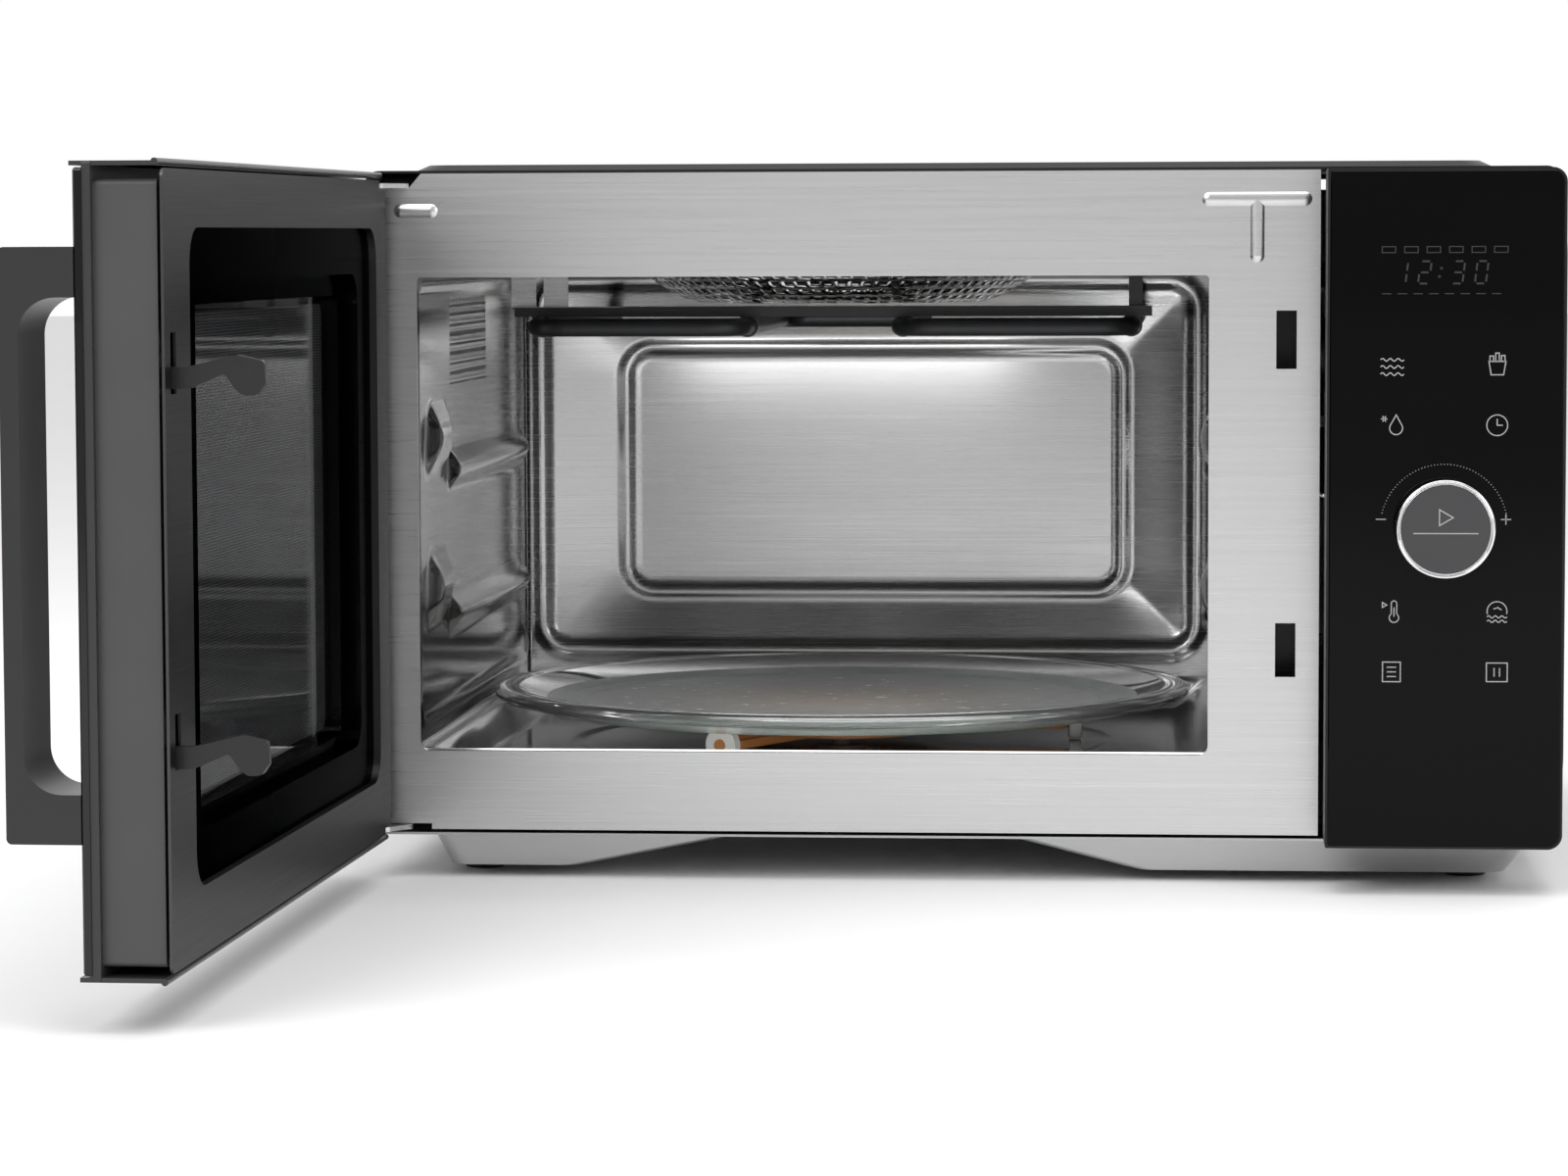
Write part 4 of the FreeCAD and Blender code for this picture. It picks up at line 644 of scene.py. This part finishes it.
# ---------------------------------------------------------------- turntable
def tray():
    """Pressed glass tray in one mesh: smooth rolled rim, pebbled border and satin base."""
    top = high("glass_tray").z
    r = TRAY_R
    profile = [
        (0.001 * MM, TRAY_Z + 3.0 * MM, "tray_base"),
        (40 * MM, TRAY_Z + 3.0 * MM, "tray_base"),
        (117 * MM, TRAY_Z + 3.0 * MM, "tray_border"),
        (119 * MM, TRAY_Z + 3.4 * MM, "tray_border"),
        (127 * MM, TRAY_Z + 3.7 * MM, "tray_border"),
        (134 * MM, TRAY_Z + 5.6 * MM, "tray_rim"),
        (r - 15 * MM, top - 2.8 * MM, "tray_rim"),
        (r - 11.5 * MM, top - 0.9 * MM, "tray_rim"),
        (r - 10.4 * MM, top - 0.3 * MM, "tray_rim"),
        (r - 9.4 * MM, top - 0.8 * MM, "tray_rim"),
        (r - 8.2 * MM, top - 0.15 * MM, "tray_rim"),
        (r - 5 * MM, top, "tray_rim"),
        (r - 2.4 * MM, top - 0.2 * MM, "tray_rim"),
        (r - 0.7 * MM, top - 1.2 * MM, "tray_rim"),
        (r, top - 3.0 * MM, "tray_rim"),
        (r - 0.5 * MM, top - 4.6 * MM, "tray_rim"),
        (r - 2.0 * MM, top - 5.6 * MM, "tray_border"),
        (r - 9 * MM, top - 6.6 * MM, "tray_border"),
        (137 * MM, TRAY_Z + 1.4 * MM, "tray_border"),
        (132 * MM, TRAY_Z + 0.1 * MM, "tray_border"),
        (128 * MM, TRAY_Z, "tray_border"),
        (119 * MM, TRAY_Z, "tray_border"),
        (117 * MM, TRAY_Z + 0.5 * MM, "tray_base"),
        (40 * MM, TRAY_Z + 0.5 * MM, "tray_base"),
        (0.001 * MM, TRAY_Z + 0.5 * MM, "tray_base"),
    ]
    segments = 240
    verts, faces = lathe([(radius, z) for radius, z, _ in profile], segments, Vector((CAVITY_X, 0, 0)))
    glass = piece("glass_tray_pressed", verts, faces, "tray_base", "turntable", "tray_glass", ["glass_tray"])
    finishes = ["tray_base", "tray_border", "tray_rim"]
    for look in finishes[1:]:
        glass.data.materials.append(LOOKS[look].material)
    bands = [finishes.index(look) for _, _, look in profile[:-1]]
    glass.data.polygons.foreach_set("material_index", bands * segments)
    for i in range(3):
        angle = math.radians(60 + 120 * i)
        centre = Vector((CAVITY_X + 11 * MM * math.cos(angle), 11 * MM * math.sin(angle), TRAY_Z))
        lug = [(2.6 * MM, 0.5 * MM), (2.4 * MM, -3.4 * MM), (1.8 * MM, -4 * MM), (0.01 * MM, -4 * MM)]
        piece(f"glass_tray_lug_{i + 1}", *lathe(lug, 24, centre), "tray_rim", "turntable", "tray_glass")


def dial_ring():
    """Turned metal ring round the dial: a broad bright band, a groove and a thin inner band."""
    front = low("dial_trim").y
    back = high("dial_trim").y
    r = (high("dial_trim").x - low("dial_trim").x) / 2
    profile = [(17.85, 0.8), (17.9, 0.3), (18.05, 0.1), (18.2, 0.3), (18.3, 1.0), (18.55, 1.0), (18.65, 0.3),
               (18.85, 0.05), (19.4, 0.0), (19.8, 0.3), (20.0, 0.9)]
    scaled = [(r - (20 - radius) * MM, front - DIAL_CENTRE.y + depth * MM) for radius, depth in profile]
    scaled += [(r, back - DIAL_CENTRE.y), (r - 2.15 * MM, back - DIAL_CENTRE.y), scaled[0]]
    piece("dial_trim_turned", *lathe(scaled, 128, DIAL_CENTRE, "Y"), "dial_chrome", "dial", "dial_ring",
          ["dial_trim"])


def feet():
    """Four turned rubber feet with a grooved side and a dished sole."""
    centre_x = [low("rubber_feet").x + 9 * MM, high("rubber_feet").x - 9 * MM]
    centre_y = [low("rubber_feet").y + 9 * MM, high("rubber_feet").y - 9 * MM]
    profile = [(0.01, 0.9), (5.5, 0.9), (6.3, 0.0), (8.1, 0.0), (8.6, 0.5), (8.6, 1.6), (8.2, 1.9),
               (8.2, 2.3), (8.8, 2.6), (9.0, 4.0), (8.6, 4.5), (0.01, 4.5)]
    scaled = [(r * MM, z * MM) for r, z in profile]
    verts, faces = [], []
    for x in centre_x:
        for y in centre_y:
            points, quads = lathe(scaled, 40, Vector((x, y, 0)))
            faces += [tuple(index + len(verts) for index in quad) for quad in quads]
            verts += points
    piece("rubber_feet_turned", verts, faces, "rubber", "casing", "foot_rubber", ["rubber_feet"])


# ---------------------------------------------------------------- printed marks
def ribbon(points, width, closed=False):
    """Left and right edge points of a flat stroke of a given width."""
    edges = []
    n = len(points)
    for i, point in enumerate(points):
        before = points[i - 1] if closed or i else point
        after = points[(i + 1) % n] if closed or i < n - 1 else point
        first = (point - before).normalized() if point != before else (after - point).normalized()
        second = (after - point).normalized() if after != point else first
        normal = Vector((-(first.y + second.y), first.x + second.x))
        normal = normal.normalized() if normal.length > 1e-9 else Vector((-first.y, first.x))
        reach = width / 2 / max(normal.dot(Vector((-first.y, first.x))), 0.5)
        edges.append((point + normal * reach, point - normal * reach))
    return edges


def stroke_mesh(strokes, width, y, centre):
    """Vertices and faces of flat strokes on a plane that faces -Y."""
    verts = []
    faces = []
    for points, closed in strokes:
        edges = ribbon([Vector(p) for p in points], width, closed)
        base = len(verts)
        for left, right in edges:
            for p in (left, right):
                verts.append(Vector((centre[0] + p.x * MM, y, centre[1] + p.y * MM)))
        count = len(edges)
        for i in range(count if closed else count - 1):
            a = base + 2 * i
            b = base + 2 * ((i + 1) % count)
            faces.append((a, a + 1, b + 1, b))
    return verts, faces


def marks(name, strokes, width, centre, look="print_bright", y=None, body="casing", slot="panel_glass"):
    """Printed strokes, lying just proud of the surface behind them."""
    plane = GLASS_Y - PRINT_LIFT if y is None else y
    verts, faces = stroke_mesh(strokes, width, plane, (centre[0] * MM, centre[1] * MM))
    return piece(name, verts, faces, look, body, slot, smooth=False)


def arc(radius, start, end, steps=24, centre=(0.0, 0.0)):
    """Points along an arc, angles in degrees."""
    angles = [math.radians(start + (end - start) * i / steps) for i in range(steps + 1)]
    return [(centre[0] + radius * math.cos(a), centre[1] + radius * math.sin(a)) for a in angles]


def wave(width, height, level):
    """A level wavy line of three periods."""
    period = 12
    steps = 3 * period
    return [(width * (i / steps - 0.5), level + height * math.sin(2 * math.pi * i / period))
            for i in range(steps + 1)]


def waves_icon():
    return [(wave(9.4, 0.55, level), False) for level in (2.9, 0.0, -2.9)]


def cup_icon():
    cup = [(-3.4, 1.2), (-2.5, -4.2), (2.5, -4.2), (3.4, 1.2)]
    tops = ((-3.0, 3.4), (-0.7, 4.6), (1.6, 3.6))
    sticks = [[(x, 1.2), (x, top), (x + 1.4, top), (x + 1.4, 1.2)] for x, top in tops]
    return [(cup, True)] + [(stick, False) for stick in sticks]


def drop_icon():
    drop = [(1.6, 4.2)] + arc(2.6, 25, -205, 24, (1.6, -1.2))
    rays = [(1.3 * math.cos(a), 1.3 * math.sin(a)) for a in (0.0, math.pi / 3, 2 * math.pi / 3)]
    star = [[(-3.2 - dx, 2.6 - dz), (-3.2 + dx, 2.6 + dz)] for dx, dz in rays]
    return [(drop, True)] + [(line, False) for line in star]


def clock_icon():
    return [(arc(4.2, 0, 345, 23), True), ([(0, 2.6), (0, 0), (2.2, 0)], False)]


def thermometer_icon():
    tube = [(-0.2, -1.0), (-0.2, 3.2)] + arc(1.1, 180, 0, 8, (0.9, 3.2)) + [(2.0, -1.0)]
    bulb = arc(1.9, 55, -235, 20, (0.9, -2.6))
    flag = [(-3.8, 3.6), (-2.0, 2.6), (-3.8, 1.6)]
    return [(tube, False), (bulb, False), (flag, True), ([(0.9, 1.6), (0.9, -2.2)], False)]


def hot_air_icon():
    return [(arc(4.0, -15, 195, 24), False), ([(-1.4, 1.0), (0.4, 1.6), (1.8, 0.6)], False),
            (wave(8.0, 0.45, -2.2), False), (wave(8.0, 0.45, -4.0), False)]


def list_icon():
    box = [(-3.6, -4.0), (3.6, -4.0), (3.6, 4.0), (-3.6, 4.0)]
    lines = [([(-1.9, level), (1.9, level)], False) for level in (1.9, 0.0, -1.9)]
    return [(box, True)] + lines


def pause_icon():
    box = [(-4.2, -3.8), (4.2, -3.8), (4.2, 3.8), (-4.2, 3.8)]
    return [(box, True), ([(-1.1, -1.8), (-1.1, 1.8)], False), ([(1.1, -1.8), (1.1, 1.8)], False)]


def panel_marks():
    """Pictograms beside the dial; the words that real panels carry are left out."""
    icons = {
        "mark_waves": (waves_icon(), (178.2, 216.0)),
        "mark_cup": (cup_icon(), (220.4, 217.0)),
        "mark_drop": (drop_icon(), (178.3, 192.4)),
        "mark_clock": (clock_icon(), (220.5, 192.4)),
        "mark_thermometer": (thermometer_icon(), (178.6, 116.7)),
        "mark_hot_air": (hot_air_icon(), (221.0, 116.8)),
        "mark_list": (list_icon(), (178.6, 92.0)),
        "mark_pause": (pause_icon(), (221.1, 92.0)),
        "mark_minus": ([([(-2.1, 0), (2.1, 0)], False)], (174.0, 154.2)),
        "mark_plus": ([([(-2.1, 0), (2.1, 0)], False), ([(0, -2.1), (0, 2.1)], False)], (224.3, 154.2)),
    }
    for name, (strokes, centre) in icons.items():
        marks(name, strokes, 0.42, centre)
    centre = (DIAL_CENTRE.x / MM, DIAL_CENTRE.z / MM)
    dots = []
    for step in range(53):
        angle = math.radians(13 + (167 - 13) * step / 52)
        spot = (25.6 * math.cos(angle), 25.6 * math.sin(angle))
        dots.append((arc(0.10, 0, 300, 5, spot), True))
    marks("mark_dotted_arc", dots, 0.2, centre)


def digit(segments, shift):
    """Strokes of a seven-segment digit, leaning a little."""
    w, h = 4.4, 4.5
    ends = {
        "a": ((0, 2 * h), (w, 2 * h)),
        "b": ((w, 2 * h), (w, h)),
        "c": ((w, h), (w, 0)),
        "d": ((0, 0), (w, 0)),
        "e": ((0, h), (0, 0)),
        "f": ((0, 2 * h), (0, h)),
        "g": ((0, h), (w, h)),
    }
    strokes = []
    for key in segments:
        (x0, z0), (x1, z1) = ends[key]
        gap = 0.16
        a = (x0 + (x1 - x0) * gap, z0 + (z1 - z0) * gap)
        b = (x1 - (x1 - x0) * gap, z1 - (z1 - z0) * gap)
        strokes.append(([(shift + p[0] + 0.12 * p[1], p[1] - h) for p in (a, b)], False))
    return strokes


def display_marks():
    """Dim seven-segment clock and plain status bars behind the display window."""
    box = (low("display_module") + high("display_module")) / 2
    centre = (box.x / MM, box.z / MM)
    digits = digit("bc", -20) + digit("abged", -10.6) + digit("abgcd", 2.8) + digit("abcdef", 12.2)
    colon = [(arc(0.25, 0, 300, 5, (-1.6 + 0.24 * z, z)), True) for z in (1.7, -1.7)]
    marks("display_digits", digits + colon, 0.75, centre, "print_dim")
    bars = [([(-25 + 6.3 * i, -8.6), (-21.2 + 6.3 * i, -8.6)], False) for i in range(8)]
    lefts = (-25, -16, -7, 2, 11, 20)
    boxes = [([(x, 8.0), (x + 5.4, 8.0), (x + 5.4, 10.4), (x, 10.4)], True) for x in lefts]
    marks("display_bars", bars + boxes, 0.4, centre, "print_dim")


def dial_marks():
    """A dividing line and a plain start triangle on the dial's face."""
    centre = (DIAL_CENTRE.x / MM, DIAL_CENTRE.z / MM)
    line = [([(-13.0, -1.6), (13.0, -1.6)], False)]
    triangle = [([(-2.6, 1.6), (2.9, 4.8), (-2.6, 8.0)], True)]
    plane = DIAL_FACE_Y - PRINT_LIFT
    marks("dial_marks", line + triangle, 0.45, centre, y=plane, body="dial", slot="dial_dark")


# ---------------------------------------------------------------- studio
def add_floor():
    mesh = bpy.data.meshes.new("studio_floor")
    size = 14.0
    corners = [(-size, -size, 0), (size, -size, 0), (size, size, 0), (-size, size, 0)]
    mesh.from_pydata(corners, [], [(0, 1, 2, 3)])
    mesh.materials.append(LOOKS["floor"].material)
    obj = bpy.data.objects.new("studio_floor", mesh)
    bpy.context.scene.collection.objects.link(obj)


def add_light(name, location, target, size, power, size_y=None):
    data = bpy.data.lights.new(name, "AREA")
    data.shape = "RECTANGLE"
    data.size = size
    data.size_y = size_y or size
    data.energy = power
    obj = bpy.data.objects.new(name, data)
    obj.location = location
    obj.rotation_euler = (Vector(target) - Vector(location)).to_track_quat("-Z", "Y").to_euler()
    bpy.context.scene.collection.objects.link(obj)
    return obj


def add_lights():
    """Soft boxes outside, small lights for the glow in the cavity, and a pale sky that dims in front."""
    add_light("key", (-1.3, -2.2, 1.7), (0, 0, 0.15), 1.3, 30)
    add_light("fill", (1.9, -1.7, 1.0), (-0.1, 0, 0.15), 1.2, 16)
    add_light("top", (0.1, -0.5, 2.2), (0, -0.1, 0.1), 2.0, 30)
    glow_x = CAVITY_X - 0.02
    glow = add_light("oven_glow", (glow_x, 0.03, 0.232), (glow_x, 0.17, 0.20), 0.17, 0.013, 0.05)
    glow.data.spread = math.radians(50)
    sill = add_light("sill_bounce", (CAVITY_X, -0.150, 0.050), (CAVITY_X, 0, 0.056), 0.30, 0.03, 0.010)
    dish_x = CAVITY_X + 0.02
    dish = add_light("dish_bounce", (dish_x, -0.02, 0.222), (dish_x, -0.019, 0.06), 0.22, 0.045, 0.18)
    for soft in (sill, dish):
        soft.visible_glossy = False
        soft.visible_camera = False
    world = bpy.data.worlds.new("studio")
    world.use_nodes = True
    nodes, links = world.node_tree.nodes, world.node_tree.links
    coords = nodes.new("ShaderNodeTexCoord")
    split = nodes.new("ShaderNodeSeparateXYZ")
    fade = nodes.new("ShaderNodeMapRange")
    fade.interpolation_type = "SMOOTHSTEP"
    for key, value in (("From Min", -0.55), ("From Max", 0.25), ("To Min", 0.5), ("To Max", 1.0)):
        fade.inputs[key].default_value = value
    links.new(coords.outputs["Generated"], split.inputs["Vector"])
    links.new(split.outputs["Y"], fade.inputs["Value"])
    links.new(fade.outputs["Result"], nodes["Background"].inputs["Strength"])
    nodes["Background"].inputs["Color"].default_value = (1.0, 1.0, 1.0, 1)
    bpy.context.scene.world = world
    bpy.context.scene.view_settings.view_transform = "Standard"


def add_camera():
    """Camera in front of the oven, a little to its right and about level with its top."""
    yaw, pitch, roll = (math.radians(a) for a in (4.9831, -4.2768, 0.1986))
    aim = Matrix.Rotation(yaw, 3, "Z") @ Matrix.Rotation(pitch, 3, "X") @ Matrix.Rotation(roll, 3, "Y")
    right, forward, up = (aim.col[i] for i in range(3))
    pose = Matrix((right, up, -forward)).transposed().to_4x4()
    pose.translation = Vector((98.2, -2126.5, 269.8)) * MM
    data = bpy.data.cameras.new("camera")
    data.lens = 108.09
    data.sensor_width = 36.0
    data.sensor_fit = "HORIZONTAL"
    data.clip_start = 0.02
    obj = bpy.data.objects.new("camera", data)
    obj.matrix_world = pose
    bpy.context.scene.collection.objects.link(obj)
    bpy.context.scene.camera = obj


dress_nodes()
back_wall()
side_wall(-1, "cavity_left_wall", (-68.0, 39.0, 204.0, 243.0, 22, 9))
side_wall(1, "cavity_right_wall", (100.0, 140.0, 210.0, 240.0, 8, 7))
floor_pan()
perforated_dome()
tray()
dial_ring()
feet()
panel_marks()
display_marks()
dial_marks()
add_camera()
add_lights()
add_floor()
